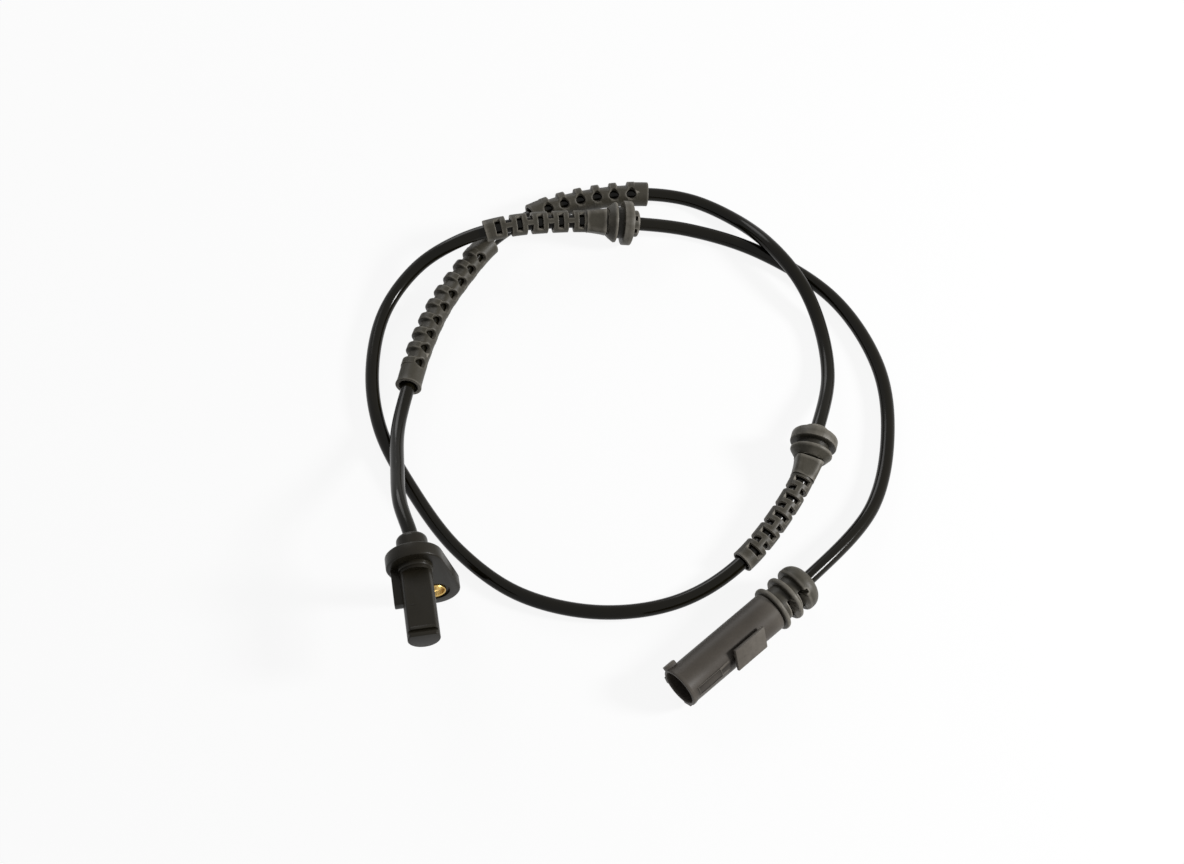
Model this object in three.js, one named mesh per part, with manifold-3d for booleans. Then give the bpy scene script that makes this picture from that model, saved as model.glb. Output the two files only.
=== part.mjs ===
// Wheel speed sensor with its lead: sensor head, cable, two ribbed sleeves, two panel grommets and a two-pin plug.
// Millimetres, +Z up. The head stands on the end of its ear at z = 0, with its probe along -Y, and the lead lies
// on the same surface. The origin is under the middle of the head.
import * as THREE from "three";
import { mergeVertices } from "three/addons/utils/BufferGeometryUtils.js";
import Module from "manifold-3d";

const wasm = await Module();
wasm.setup();

// Clearances
const seatGap = 0.3; // between two pieces that meet
const cableGap = 0.45; // between the cable and the bore that it lies in
const cutExtra = 1; // how far a cutter runs past the face that it opens

// Cable
const cableDiameter = 5;
const cableSides = 10;
const cableSteps = 80;
const coreDiameter = 1.5;
const coreOffset = 1; // each core's centre from the cable's centre
const jacketInHead = 7.8; // length of jacket inside the head's rear boss
const jacketInPlug = 14; // length of jacket inside the plug's boot

// Sensor head: probe, flange with its ear, and rear boss
const probeDiameter = 10.8;
const probeLength = 26.5;
const probeFlatHeight = 3.3; // from the probe's axis up to its flat top
const probeFlatStart = 2.4; // from the flange to the start of the flat
const probeCollarDiameter = 11.8;
const probeCollarLength = 1.6;
const tipSlotWidth = 1;
const tipSlotDepth = 0.8;
const tipCapLength = 1.2; // from the slot to the end of the probe
const tipLipLength = 1.2;
const tipLipHeight = 0.4;
const tipLipWidth = 7.8;
const flangeDiameter = 19.2;
const flangeThickness = 4.8;
const earRadius = 8.8;
const earSpacing = 19; // from the probe's axis to the bush's axis
const earAngle = THREE.MathUtils.degToRad(16); // from straight down towards +X
const bushOuterDiameter = 8;
const bushBoreDiameter = 6.4;
const bushProud = 0.1; // at each face of the ear
const bushChamfer = 0.3;
const ribWidth = 3.4; // locating rib beside the probe
const ribHeight = 3.4;
const ribLength = 12.8;
const ribOutside = 8.2; // from the probe's axis to the rib's outer face
const ribDrop = 1.3; // from the probe's axis down to the rib's middle
const bossDiameter = 10.5;
const bossLength = 7;
const bossRounding = 2;

// Inside the head
const elementCarrierWidth = 5.6;
const elementCarrierTop = 1.9; // above the probe's axis
const elementCarrierBottom = 2.9; // below the probe's axis
const elementCarrierToTip = 3.1; // from the carrier's end to the end of the probe
const elementWidth = 4.2;
const elementLength = 4.8;
const elementThickness = 1.5;
const elementEndWall = 0.9; // of the carrier, in front of the element
const stripWidth = 0.9;
const stripThickness = 0.4;
const stripOffset = 1.2; // each lead strip's centre from the probe's axis
const crimpWidth = 1.7;
const crimpHeight = 2;
const headCrimpLength = 3;
const headCrimpBack = 1.6; // from the flange's front face to the crimp's rear end
const stripRaise = 0.8; // from the probe's axis up to the underside of the lead strips

// Ribbed sleeves, where the lead is clipped round the suspension strut
const sleeveDiameter = 9.1;
const sleeveValleyDiameter = 7.1;
const sleevePitch = 6.6;
const sleeveRibLength = 2.9;
const sleeveValleySpread = THREE.MathUtils.degToRad(75); // each side of the ribs' middle
const sleeveWindowAngle = THREE.MathUtils.degToRad(110); // from the ribs' middle
const sleeveWindowLength = 3.7;
const sleeveWindowSpan = 4.6;
const headSleeveStart = 87;
const headSleeveWindows = 9;
const headSleeveFirst = 9.2; // from the sleeve's end to its first window
const headSleeveLast = 9;
const headSleeveRibAngle = THREE.MathUtils.degToRad(-75); // from the side that faces up and front
const midSleeveStart = 178;
const midSleeveWindows = 6;
const midSleeveFirst = 6.6;
const midSleeveLast = 6.4;
const midSleeveRibAngle = THREE.MathUtils.degToRad(-105);

// Panel grommets
const latticeDiameter = 8.2;
const latticePitch = 3.95;
const latticeStations = 9;
const latticeFirst = 5; // from the thin end to the first slot
const frontSlotLength = 2;
const frontSlotWidth = 6;
const sideSlotLength = 2.2;
const sideBarWidth = 1.9;
const neckLength = 7.8;
const neckDiameter = 10.4;
const lipDiameter = 15;
const lipLength = 2.4;
const lipLand = 1;
const grooveDiameter = 11.8;
const grooveWidth = 2.4;
const grommetFlangeDiameter = 16.6;
const grommetFlangeThickness = 3.2;
const stubDiameter = 9.9;
const stubLength = 2.6;
const middleGrommetStart = 369.5; // the stub's end, along the cable
const plugGrommetStart = 696; // the thin end, along the cable

// Plug: boot with three discs, housing with a mounting rail, terminals
const bootHubDiameter = 12.4;
const bootDiscDiameter = 16.3;
const bootDiscThickness = 1.8;
const bootDiscPlaces = [4.2, 9.1, 15]; // rear face of each disc, from the boot's rear end
const bootNoseDiameter = 7.4;
const bootWindowDepth = 2;
const bootWindowLength = 1.9;
const bootWindowWidth = 9;
const bootWindowAngle = THREE.MathUtils.degToRad(50); // from the plug's upper side
const bootSpigotDiameter = 10;
const bootSpigotLength = 5.2;
const plugLength = 58.8; // from the boot's rear end to the mouth
const plugDiameter = 13.9;
const mouthRimDiameter = 14.4;
const mouthRimLength = 2.2;
const mouthDiameter = 12.3;
const mouthDepth = 20.7;
const plugWebThickness = 2.2;
const terminalHolderDiameter = 10.2;
const holderGap = 0.3;
const pinDiameter = 1.6;
const pinOffset = 2;
const pinToMouth = 9.3; // from the pin's tip back to the mouth
const plugCrimpWidth = 2;
const plugCrimpOffset = 1.75;
const plugCrimpLength = 6.4;
const railLength = 13.5;
const railWidth = 7.3;
const railThickness = 1.5;
const railSlot = 0.9; // between the rail's plate and the housing
const railWebWidth = 3;
const railStart = 26.9;
const railAngle = THREE.MathUtils.degToRad(34); // from the plug's upper side
const keyLength = 4.2;
const keyWidth = 2.6;
const keyHeight = 1.3;
const keyAngle = THREE.MathUtils.degToRad(-88);
const guideLength = 12;
const guideWidth = 3.6;
const guideHeight = 0.7;
const guideAngle = THREE.MathUtils.degToRad(122);
const lowerKeyAngle = THREE.MathUtils.degToRad(-148);
const blockEmbed = 0.7; // how far the rail, the keys and the guide run into the housing's wall
const mouthRimTaper = 1; // from the housing's diameter out to the rim's

// Facets
const roundSides = 24;
const sleeveSides = 12;
const windowSides = 8;
const smallSides = 12;
const sleeveStep = 4.4; // between the rings of a bent sleeve
const arcSteps = 3; // of a rounded end

// Sizes worked out from the ones above
const boreRadius = cableDiameter / 2 + cableGap;
const bossEnd = flangeThickness + bossLength;
const earCentre = new THREE.Vector3(
  earSpacing * Math.sin(earAngle),
  0,
  -earSpacing * Math.cos(earAngle),
);
const headReach = Math.max(flangeDiameter / 2, earCentre.x + earRadius);
const headPlace = new THREE.Vector3(
  (flangeDiameter / 2 - headReach) / 2,
  (probeLength - bossEnd) / 2,
  earRadius - earCentre.z,
);
const latticeLength = latticeFirst + (latticeStations - 0.5) * latticePitch;
const bootLength = bootDiscPlaces[2] + bootDiscThickness;

// Materials
const material = (color, roughness, metalness = 0) =>
  new THREE.MeshStandardMaterial({ color, roughness, metalness });
const headPlastic = material(0x2a2721, 0.45);
const plugPlastic = material(0x4a453f, 0.5);
const innerPlastic = material(0x33322f, 0.6);
const rubber = material(0x45433d, 0.75);
const jacket = material(0x171512, 0.3);
const brass = material(0xd8b56a, 0.3, 1);
const tinned = material(0xb9bcc0, 0.35, 1);
const elementBlack = material(0x121212, 0.4);
const coreBlue = material(0x2b4a86, 0.5);
const coreBrown = material(0x5b3a24, 0.5);

// Cable route: out of the head's boss, down to the surface, round the loop twice and into the plug's boot.
const loopPoints = [
  [-4.5, 34.5, 24], [-4, 53.5, 15.5], [-2, 75, 7.2], [3.5, 93.5, 4.8], [9.5, 109, 4.7],
  [18, 125.5, 4.7], [28, 139, 4.7], [41, 153, 4.7], [58, 163, 4.7], [77, 167.5, 4.7],
  [100, 167, 4.7], [119, 162.5, 2.8], [135, 148.5, 4.1], [145, 130, 8.6], [152, 113.5, 7.6],
  [155.5, 97.5, 3.2], [153.5, 74.5, 3.6], [143, 48.5, 8.7], [133.5, 30.5, 6.8], [108, 4.5, 4.4],
  [84.5, -6, 2.8], [57.5, -6, 2.7], [31.5, 5, 2.7], [13, 25, 2.7], [0, 51.5, 2.7],
  [-8.5, 79, 2.7], [-8.5, 105, 2.7], [-1, 129.5, 3.1], [13, 144.5, 6.8], [28, 149.5, 12],
  [45, 152, 14.2], [68, 153, 12], [91.5, 151, 9], [116.5, 148, 3.2], [140.5, 134, 2.8],
  [163, 109, 2.7], [172.5, 78, 2.7], [170, 50, 2.7], [157, 19, 3.8],
];
const plugPlace = new THREE.Vector3(127.5, -8, 8.75);
const plugHeading = THREE.MathUtils.degToRad(212.9);
const plugDip = THREE.MathUtils.degToRad(1.3);
const plugDirection = new THREE.Vector3(
  Math.cos(plugHeading) * Math.cos(plugDip),
  Math.sin(plugHeading) * Math.cos(plugDip),
  -Math.sin(plugDip),
);
const route = new THREE.CatmullRomCurve3(
  [
    headPlace.clone().add(new THREE.Vector3(0, bossEnd - jacketInHead, 0)),
    headPlace.clone().add(new THREE.Vector3(0, bossEnd, 0)),
    ...loopPoints.map((p) => new THREE.Vector3(...p)),
    plugPlace,
    plugPlace.clone().addScaledVector(plugDirection, jacketInPlug),
  ],
  false,
  "centripetal",
);
route.arcLengthDivisions = 2000;
const routeLength = route.getLength();

// The way that the sleeves' windows, the grommets' slots and the plug's upper side face
const upAndFront = new THREE.Vector3(-0.08, -0.52, 0.85).normalize();

// Frame at a distance along the cable: X faces the given way, Y runs along the cable, or against it if reversed.
function routeFrame(distance, facing, reversed) {
  const share = distance / routeLength;
  const along = route.getTangentAt(share).multiplyScalar(reversed ? -1 : 1);
  return frameOf(route.getPointAt(share), along, facing);
}

function frameOf(place, along, facing) {
  const out = facing.clone().addScaledVector(along, -facing.dot(along)).normalize();
  const side = new THREE.Vector3().crossVectors(out, along);
  return new THREE.Matrix4().makeBasis(out, along, side).setPosition(place);
}

// Bends a straight shape, made along Y from 0, so that it follows the cable from a distance on.
function bend(geometry, start, facing, reversed) {
  const position = geometry.attributes.position;
  const point = new THREE.Vector3();
  for (let i = 0; i < position.count; i++) {
    point.fromBufferAttribute(position, i);
    const distance = start + (reversed ? -point.y : point.y);
    point.setY(0).applyMatrix4(routeFrame(distance, facing, reversed));
    position.setXYZ(i, point.x, point.y, point.z);
  }
  return geometry;
}

// Closed geometry to solid, and solid to named mesh
function solidOf(geometry) {
  geometry.deleteAttribute("normal");
  geometry.deleteAttribute("uv");
  const merged = mergeVertices(geometry, 1e-4);
  return new wasm.Manifold(
    new wasm.Mesh({
      numProp: 3,
      vertProperties: merged.attributes.position.array,
      triVerts: new Uint32Array(merged.index.array),
    }),
  );
}

function meshOf(name, solid, look) {
  const { vertProperties, triVerts } = solid.getMesh();
  const geometry = new THREE.BufferGeometry();
  geometry.setAttribute("position", new THREE.BufferAttribute(vertProperties, 3));
  geometry.setIndex(new THREE.BufferAttribute(triVerts, 1));
  geometry.computeVertexNormals();
  const mesh = new THREE.Mesh(geometry, look);
  mesh.name = name;
  return mesh;
}

// Box from its low and high corners
function box(low, high) {
  const size = high.map((v, i) => v - low[i]);
  const middle = high.map((v, i) => (v + low[i]) / 2);
  return solidOf(new THREE.BoxGeometry(...size).translate(...middle));
}

// Cylinder along Y, centred at x, z
function cylinderY(radius, from, to, sides = roundSides, x = 0, z = 0) {
  const geometry = new THREE.CylinderGeometry(radius, radius, to - from, sides);
  return solidOf(geometry.translate(x, (from + to) / 2, z));
}

// Turned shape about Y: outer outline as [radius, y] from one end to the other, with a straight bore through it.
function turned(outline, bore, sides = roundSides) {
  const first = outline[0][1];
  const last = outline[outline.length - 1][1];
  const points = [...outline, [bore, last], [bore, first], outline[0]];
  return new THREE.LatheGeometry(
    points.map(([radius, y]) => new THREE.Vector2(radius, y)),
    sides,
  );
}

// The same with a ring at least every sleeveStep, so that it can be bent
function turnedForBending(outline, bore) {
  const rings = [];
  const divide = (list, [radius, y]) => {
    const before = list[list.length - 1];
    const parts = before ? Math.max(1, Math.ceil(Math.abs(y - before[1]) / sleeveStep)) : 1;
    for (let i = 1; i <= parts; i++) {
      const share = i / parts;
      list.push(
        before
          ? [before[0] + (radius - before[0]) * share, before[1] + (y - before[1]) * share]
          : [radius, y],
      );
    }
    return list;
  };
  const last = outline[outline.length - 1][1];
  [...outline, [bore, last], [bore, outline[0][1]], outline[0]].reduce(divide, rings);
  return new THREE.LatheGeometry(
    rings.map(([radius, y]) => new THREE.Vector2(radius, y)),
    sleeveSides,
  );
}

// Sensor head
function headHousing() {
  const theta = Math.atan2(earCentre.z, earCentre.x);
  const spread = Math.acos((flangeDiameter / 2 - earRadius) / earSpacing);
  const outline = new THREE.Shape();
  outline.absarc(0, 0, flangeDiameter / 2, theta + spread, theta - spread + 2 * Math.PI);
  outline.absarc(earCentre.x, earCentre.z, earRadius, theta - spread, theta + spread);
  const plate = new THREE.ExtrudeGeometry(outline, {
    depth: flangeThickness,
    bevelEnabled: false,
    curveSegments: roundSides,
  });
  const flange = solidOf(plate.rotateX(Math.PI / 2).translate(0, flangeThickness, 0));
  const probe = cylinderY(probeDiameter / 2, -probeLength, flangeThickness / 2);
  const collar = cylinderY(probeCollarDiameter / 2, -probeCollarLength, flangeThickness / 2);
  const flat = box(
    [-probeDiameter, -probeLength - cutExtra, probeFlatHeight],
    [probeDiameter, -probeFlatStart, probeDiameter],
  );
  const slotFront = -probeLength + tipCapLength;
  const slotBack = slotFront + tipSlotWidth;
  const lip = box(
    [-tipLipWidth / 2, slotBack, probeFlatHeight - tipLipHeight],
    [tipLipWidth / 2, slotBack + tipLipLength, probeFlatHeight + tipLipHeight],
  );
  const slot = box(
    [-probeDiameter, slotFront, probeFlatHeight - tipSlotDepth],
    [probeDiameter, slotBack, probeDiameter],
  );
  const rib = box(
    [-ribOutside, -ribLength, -ribDrop - ribHeight / 2],
    [-ribOutside + ribWidth, flangeThickness / 2, -ribDrop + ribHeight / 2],
  );
  const bossOutline = [[bossDiameter / 2, flangeThickness / 2]];
  for (let i = 0; i <= arcSteps; i++) {
    const angle = (i / arcSteps) * (Math.PI / 2);
    bossOutline.push([
      bossDiameter / 2 - bossRounding + bossRounding * Math.cos(angle),
      bossEnd - bossRounding + bossRounding * Math.sin(angle),
    ]);
  }
  const boss = solidOf(turned(bossOutline, boreRadius));
  const bushHole = cylinderY(
    bushOuterDiameter / 2 + seatGap,
    -cutExtra,
    flangeThickness + cutExtra,
    roundSides,
    earCentre.x,
    earCentre.z,
  );
  const pocket = box(
    [
      -elementCarrierWidth / 2 - seatGap,
      -probeLength + elementCarrierToTip - seatGap,
      -elementCarrierBottom - seatGap,
    ],
    [
      elementCarrierWidth / 2 + seatGap,
      bossEnd - jacketInHead - seatGap,
      elementCarrierTop + seatGap,
    ],
  );
  const cableBore = cylinderY(
    boreRadius,
    bossEnd - jacketInHead - 2 * seatGap,
    bossEnd + cutExtra,
  );
  return probe
    .subtract(flat)
    .add(lip)
    .subtract(slot)
    .add(collar)
    .add(flange)
    .add(rib)
    .add(boss)
    .subtract(bushHole)
    .subtract(pocket)
    .subtract(cableBore);
}

function earBushing() {
  const outer = bushOuterDiameter / 2;
  const bore = bushBoreDiameter / 2;
  const front = -bushProud;
  const back = flangeThickness + bushProud;
  const outline = [
    [outer - bushChamfer, front],
    [outer, front + bushChamfer],
    [outer, back - bushChamfer],
    [outer - bushChamfer, back],
  ];
  return solidOf(turned(outline, bore).translate(earCentre.x, 0, earCentre.z));
}

// Inside the head, from the probe's tip back to the cable: element, lead strips, crimps and cores on one carrier.
const carrierFront = -probeLength + elementCarrierToTip;
const carrierBack = bossEnd - jacketInHead - 4 * seatGap;
const elementFront = carrierFront + elementEndWall;
const elementBack = elementFront + elementLength;
const headCrimpFront = -headCrimpBack - headCrimpLength;
const coreRadius = coreDiameter / 2;

function elementCarrier() {
  const top = elementCarrierTop + cutExtra;
  const elementPocket = box(
    [-elementWidth / 2 - seatGap, elementFront - seatGap, elementCarrierTop - elementThickness - 2 * seatGap],
    [elementWidth / 2 + seatGap, elementBack + seatGap, top],
  );
  const trough = box(
    [-stripOffset - crimpWidth / 2 - seatGap, headCrimpFront - seatGap, -coreRadius - seatGap],
    [stripOffset + crimpWidth / 2 + seatGap, carrierBack + cutExtra, top],
  );
  let carrier = box(
    [-elementCarrierWidth / 2, carrierFront, -elementCarrierBottom],
    [elementCarrierWidth / 2, carrierBack, elementCarrierTop],
  )
    .subtract(elementPocket)
    .subtract(trough);
  for (const side of [-1, 1]) {
    const middle = side * stripOffset;
    const groove = box(
      [middle - stripWidth / 2 - seatGap, elementBack, stripRaise - seatGap],
      [middle + stripWidth / 2 + seatGap, headCrimpFront, top],
    );
    carrier = carrier.subtract(groove);
  }
  return carrier;
}

const sensingElement = () =>
  box(
    [-elementWidth / 2, elementFront, elementCarrierTop - elementThickness - seatGap],
    [elementWidth / 2, elementBack, elementCarrierTop - seatGap],
  );

const leadStrip = (side) =>
  box(
    [side * stripOffset - stripWidth / 2, elementBack + seatGap, stripRaise],
    [side * stripOffset + stripWidth / 2, headCrimpFront - seatGap, stripRaise + stripThickness],
  );

const headCrimp = (side) =>
  box(
    [side * stripOffset - crimpWidth / 2, headCrimpFront, -coreRadius],
    [side * stripOffset + crimpWidth / 2, -headCrimpBack, -coreRadius + crimpHeight],
  );

const headCore = (side) =>
  cylinderY(
    coreRadius,
    -headCrimpBack + seatGap,
    bossEnd - jacketInHead - seatGap,
    smallSides,
    side * coreOffset,
  );

// Ribbed sleeve: ribs stand round one side, and a window opens at each rib on both flanks of the other side.
function ribbedSleeve(start, windows, first, last, ribAngle) {
  const length = first + (windows - 1) * sleevePitch + last;
  const radius = sleeveDiameter / 2;
  const outline = [
    [radius, 0],
    [radius, length],
  ];
  const facing = upAndFront;
  let sleeve = solidOf(bend(turnedForBending(outline, boreRadius), start, facing, false));
  const valleyLength = sleevePitch - sleeveRibLength;
  const valleyFloor = sleeveValleyDiameter / 2;
  const valleyRing = turned(
    [
      [radius + cutExtra, -valleyLength / 2],
      [radius + cutExtra, valleyLength / 2],
    ],
    valleyFloor,
    sleeveSides,
  );
  const valleySide = box(
    [radius * Math.cos(sleeveValleySpread), -valleyLength, -2 * radius],
    [2 * radius, valleyLength, 2 * radius],
  );
  const valley = solidOf(valleyRing).intersect(valleySide);
  const windowShape = new THREE.CylinderGeometry(
    sleeveWindowLength / 2,
    sleeveWindowLength / 2,
    radius,
    windowSides,
  );
  windowShape.rotateZ(Math.PI / 2).scale(1, 1, sleeveWindowSpan / sleeveWindowLength);
  windowShape.translate(boreRadius + radius / 2 - cableGap, 0, 0);
  const window = solidOf(windowShape);
  const turn = (angle) => new THREE.Matrix4().makeRotationY(angle);
  const cut = (cutter, distance, angle) => {
    const place = routeFrame(start + distance, facing, false).multiply(turn(angle));
    sleeve = sleeve.subtract(cutter.transform(place.elements));
  };
  for (let i = 0; i < windows; i++) {
    const distance = first + i * sleevePitch;
    cut(window, distance, ribAngle + sleeveWindowAngle);
    cut(window, distance, ribAngle - sleeveWindowAngle);
    if (i < windows - 1) cut(valley, distance + sleevePitch / 2, ribAngle);
  }
  return sleeve;
}

// Panel grommet: slotted lattice, neck, barbed lip, groove for the panel's edge, flange and stub. Reversed, its
// stub points back to the head.
function grommet(start, reversed) {
  const lattice = latticeDiameter / 2;
  const neckEnd = latticeLength + neckLength;
  const lipEnd = neckEnd + lipLength + lipLand;
  const grooveEnd = lipEnd + grooveWidth;
  const flangeEnd = grooveEnd + grommetFlangeThickness;
  const stubEnd = flangeEnd + stubLength;
  const outline = [
    [lattice, 0],
    [lattice, latticeLength],
    [neckDiameter / 2, neckEnd],
    [lipDiameter / 2, neckEnd + lipLength],
    [lipDiameter / 2, lipEnd],
    [grooveDiameter / 2, lipEnd],
    [grooveDiameter / 2, grooveEnd],
    [grommetFlangeDiameter / 2, grooveEnd],
    [grommetFlangeDiameter / 2, flangeEnd],
    [stubDiameter / 2, flangeEnd],
    [stubDiameter / 2, stubEnd],
  ];
  const facing = upAndFront;
  const end = reversed ? start + stubEnd : start;
  let body = solidOf(bend(turnedForBending(outline, boreRadius), end, facing, reversed));
  const reach = 2 * lattice;
  const frontSlot = box(
    [-reach, -frontSlotLength / 2, -frontSlotWidth / 2],
    [reach, frontSlotLength / 2, frontSlotWidth / 2],
  );
  const sideSlot = (side) =>
    box(
      [-reach, -sideSlotLength / 2, side > 0 ? sideBarWidth / 2 : -reach],
      [reach, sideSlotLength / 2, side > 0 ? reach : -sideBarWidth / 2],
    );
  for (let i = 0; i < latticeStations; i++) {
    const distance = latticeFirst + i * latticePitch;
    const along = reversed ? end - distance : end + distance;
    const place = routeFrame(along, facing, reversed).elements;
    const cutters = i % 2 ? [sideSlot(-1), sideSlot(1)] : [frontSlot];
    for (const cutter of cutters) body = body.subtract(cutter.transform(place));
  }
  return body;
}

// Plug, along its own Y from the boot's rear end, with X as its upper side
function plugBoot() {
  const disc = bootDiscDiameter / 2;
  const hub = bootHubDiameter / 2;
  const nose = bootNoseDiameter / 2;
  const outline = [[nose, 0]];
  const capLength = bootDiscPlaces[0];
  for (let i = 1; i <= arcSteps; i++) {
    const angle = (i / arcSteps) * (Math.PI / 2);
    outline.push([
      nose + (disc - nose) * Math.sin(angle),
      capLength - capLength * Math.cos(angle),
    ]);
  }
  bootDiscPlaces.forEach((place, i) => {
    if (i) outline.push([hub, place], [disc, place]);
    outline.push([disc, place + bootDiscThickness]);
    if (i < bootDiscPlaces.length - 1) outline.push([hub, place + bootDiscThickness]);
  });
  const spigot = bootSpigotDiameter / 2;
  outline.push([spigot, bootLength], [spigot, bootLength + bootSpigotLength]);
  let boot = solidOf(turned(outline, boreRadius));
  bootDiscPlaces.slice(0, 2).forEach((place) => {
    const from = place + bootDiscThickness;
    for (const side of [-1, 1]) {
      const angle = side > 0 ? bootWindowAngle : bootWindowAngle + Math.PI;
      const window = plugBlock(
        angle,
        bootWindowWidth,
        hub - bootWindowDepth,
        disc,
        from,
        from + bootWindowLength,
      );
      boot = boot.subtract(window);
    }
  });
  return boot;
}

const housingRear = bootLength + seatGap;
const mouthFloor = plugLength - mouthDepth;
const webRear = mouthFloor - plugWebThickness;
const holderRear = bootLength + bootSpigotLength + 2 * holderGap;
const pinRear = holderRear + plugCrimpLength + seatGap;

// Block that stands out of the housing, turned about the plug's axis by an angle from its upper side
function plugBlock(angle, width, inner, outer, from, to) {
  const block = box([inner, from, -width / 2], [outer, to, width / 2]);
  const turn = new THREE.Matrix4().makeRotationY(-angle);
  return block.transform(turn.elements);
}

function plugHousing() {
  const radius = plugDiameter / 2;
  const rim = mouthRimDiameter / 2;
  const embed = radius - blockEmbed;
  const outline = [
    [radius, housingRear],
    [radius, plugLength - mouthRimLength],
    [rim, plugLength - mouthRimLength + mouthRimTaper],
    [rim, plugLength],
  ];
  const shell = new THREE.LatheGeometry(
    [[0, housingRear], ...outline, [0, plugLength]].map(([r, y]) => new THREE.Vector2(r, y)),
    roundSides,
  );
  const railEnd = railStart + railLength;
  const plateInside = radius + railSlot;
  const plate = plugBlock(
    railAngle,
    railWidth,
    plateInside,
    plateInside + railThickness,
    railStart,
    railEnd,
  );
  const web = plugBlock(
    railAngle,
    railWebWidth,
    embed,
    plateInside + railThickness / 2,
    railStart,
    railEnd,
  );
  const key = plugBlock(keyAngle, keyWidth, embed, rim + keyHeight, plugLength - keyLength, plugLength);
  const lowerKey = plugBlock(
    lowerKeyAngle,
    keyWidth,
    embed,
    rim + guideHeight,
    plugLength - keyLength,
    plugLength,
  );
  const guide = plugBlock(
    guideAngle,
    guideWidth,
    embed,
    radius + guideHeight,
    plugLength - guideLength,
    plugLength,
  );
  const rearBore = cylinderY(
    terminalHolderDiameter / 2 + seatGap,
    housingRear - cutExtra,
    webRear,
  );
  const mouth = cylinderY(mouthDiameter / 2, mouthFloor, plugLength + cutExtra);
  let housing = solidOf(shell).add(plate).add(web).add(key).add(lowerKey).add(guide);
  housing = housing.subtract(rearBore).subtract(mouth);
  for (const side of [-1, 1]) {
    housing = housing.subtract(
      cylinderY(
        pinDiameter / 2 + seatGap,
        webRear - cutExtra,
        mouthFloor + cutExtra,
        smallSides,
        0,
        side * pinOffset,
      ),
    );
  }
  return housing;
}

function terminalHolder() {
  let holder = cylinderY(terminalHolderDiameter / 2, holderRear, webRear - holderGap);
  for (const side of [-1, 1]) {
    const low = side * plugCrimpOffset - plugCrimpWidth / 2 - seatGap;
    const high = side * plugCrimpOffset + plugCrimpWidth / 2 + seatGap;
    const crimpRoom = box(
      [-plugCrimpWidth / 2 - seatGap, holderRear - cutExtra, low],
      [plugCrimpWidth / 2 + seatGap, pinRear, high],
    );
    const pinHole = cylinderY(
      pinDiameter / 2 + seatGap,
      pinRear - cutExtra,
      webRear + cutExtra,
      smallSides,
      0,
      side * pinOffset,
    );
    holder = holder.subtract(crimpRoom).subtract(pinHole);
  }
  return holder;
}

const contactPin = (side) =>
  cylinderY(pinDiameter / 2, pinRear, plugLength - pinToMouth, smallSides, 0, side * pinOffset);

const plugCrimp = (side) =>
  box(
    [-plugCrimpWidth / 2, holderRear, side * plugCrimpOffset - plugCrimpWidth / 2],
    [
      plugCrimpWidth / 2,
      holderRear + plugCrimpLength,
      side * plugCrimpOffset + plugCrimpWidth / 2,
    ],
  );

const plugCore = (side) =>
  cylinderY(
    coreRadius,
    jacketInPlug + seatGap,
    holderRear - seatGap,
    smallSides,
    0,
    side * coreOffset,
  );

// Cable
function cableJacket() {
  const section = new THREE.Shape();
  for (let i = 0; i < cableSides; i++) {
    const angle = (i / cableSides) * 2 * Math.PI;
    const x = (cableDiameter / 2) * Math.cos(angle);
    const y = (cableDiameter / 2) * Math.sin(angle);
    if (i) section.lineTo(x, y);
    else section.moveTo(x, y);
  }
  return solidOf(
    new THREE.ExtrudeGeometry(section, {
      steps: cableSteps,
      bevelEnabled: false,
      extrudePath: route,
    }),
  );
}

// Assembly
const sensor = new THREE.Group();

const head = new THREE.Group();
head.position.copy(headPlace);
head.add(
  meshOf("sensor_housing", headHousing(), headPlastic),
  meshOf("ear_bushing", earBushing(), brass),
  meshOf("element_carrier", elementCarrier(), innerPlastic),
  meshOf("sensing_element", sensingElement(), elementBlack),
);
[-1, 1].forEach((side, i) => {
  head.add(
    meshOf("lead_strip_" + (i + 1), leadStrip(side), tinned),
    meshOf("head_crimp_" + (i + 1), headCrimp(side), tinned),
    meshOf("head_core_" + (i + 1), headCore(side), i ? coreBrown : coreBlue),
  );
});
sensor.add(head);

sensor.add(
  meshOf("cable", cableJacket(), jacket),
  meshOf(
    "head_ribbed_sleeve",
    ribbedSleeve(
      headSleeveStart,
      headSleeveWindows,
      headSleeveFirst,
      headSleeveLast,
      headSleeveRibAngle,
    ),
    rubber,
  ),
  meshOf(
    "middle_ribbed_sleeve",
    ribbedSleeve(
      midSleeveStart,
      midSleeveWindows,
      midSleeveFirst,
      midSleeveLast,
      midSleeveRibAngle,
    ),
    rubber,
  ),
  meshOf("middle_grommet", grommet(middleGrommetStart, true), rubber),
  meshOf("plug_grommet", grommet(plugGrommetStart, false), rubber),
);

const plug = new THREE.Group();
plug.applyMatrix4(frameOf(plugPlace, plugDirection, upAndFront));
plug.add(
  meshOf("plug_boot", plugBoot(), rubber),
  meshOf("plug_housing", plugHousing(), plugPlastic),
  meshOf("terminal_holder", terminalHolder(), innerPlastic),
);
[-1, 1].forEach((side, i) => {
  plug.add(
    meshOf("contact_pin_" + (i + 1), contactPin(side), tinned),
    meshOf("plug_crimp_" + (i + 1), plugCrimp(side), tinned),
    meshOf("plug_core_" + (i + 1), plugCore(side), i ? coreBrown : coreBlue),
  );
});
sensor.add(plug);

export default sensor;
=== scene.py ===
"""Wheel speed sensor with its lead, modelled and finished around its CAD frame."""

import math
from bisect import bisect_left

import bmesh
import bpy
from mathutils import Matrix, Vector


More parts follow.
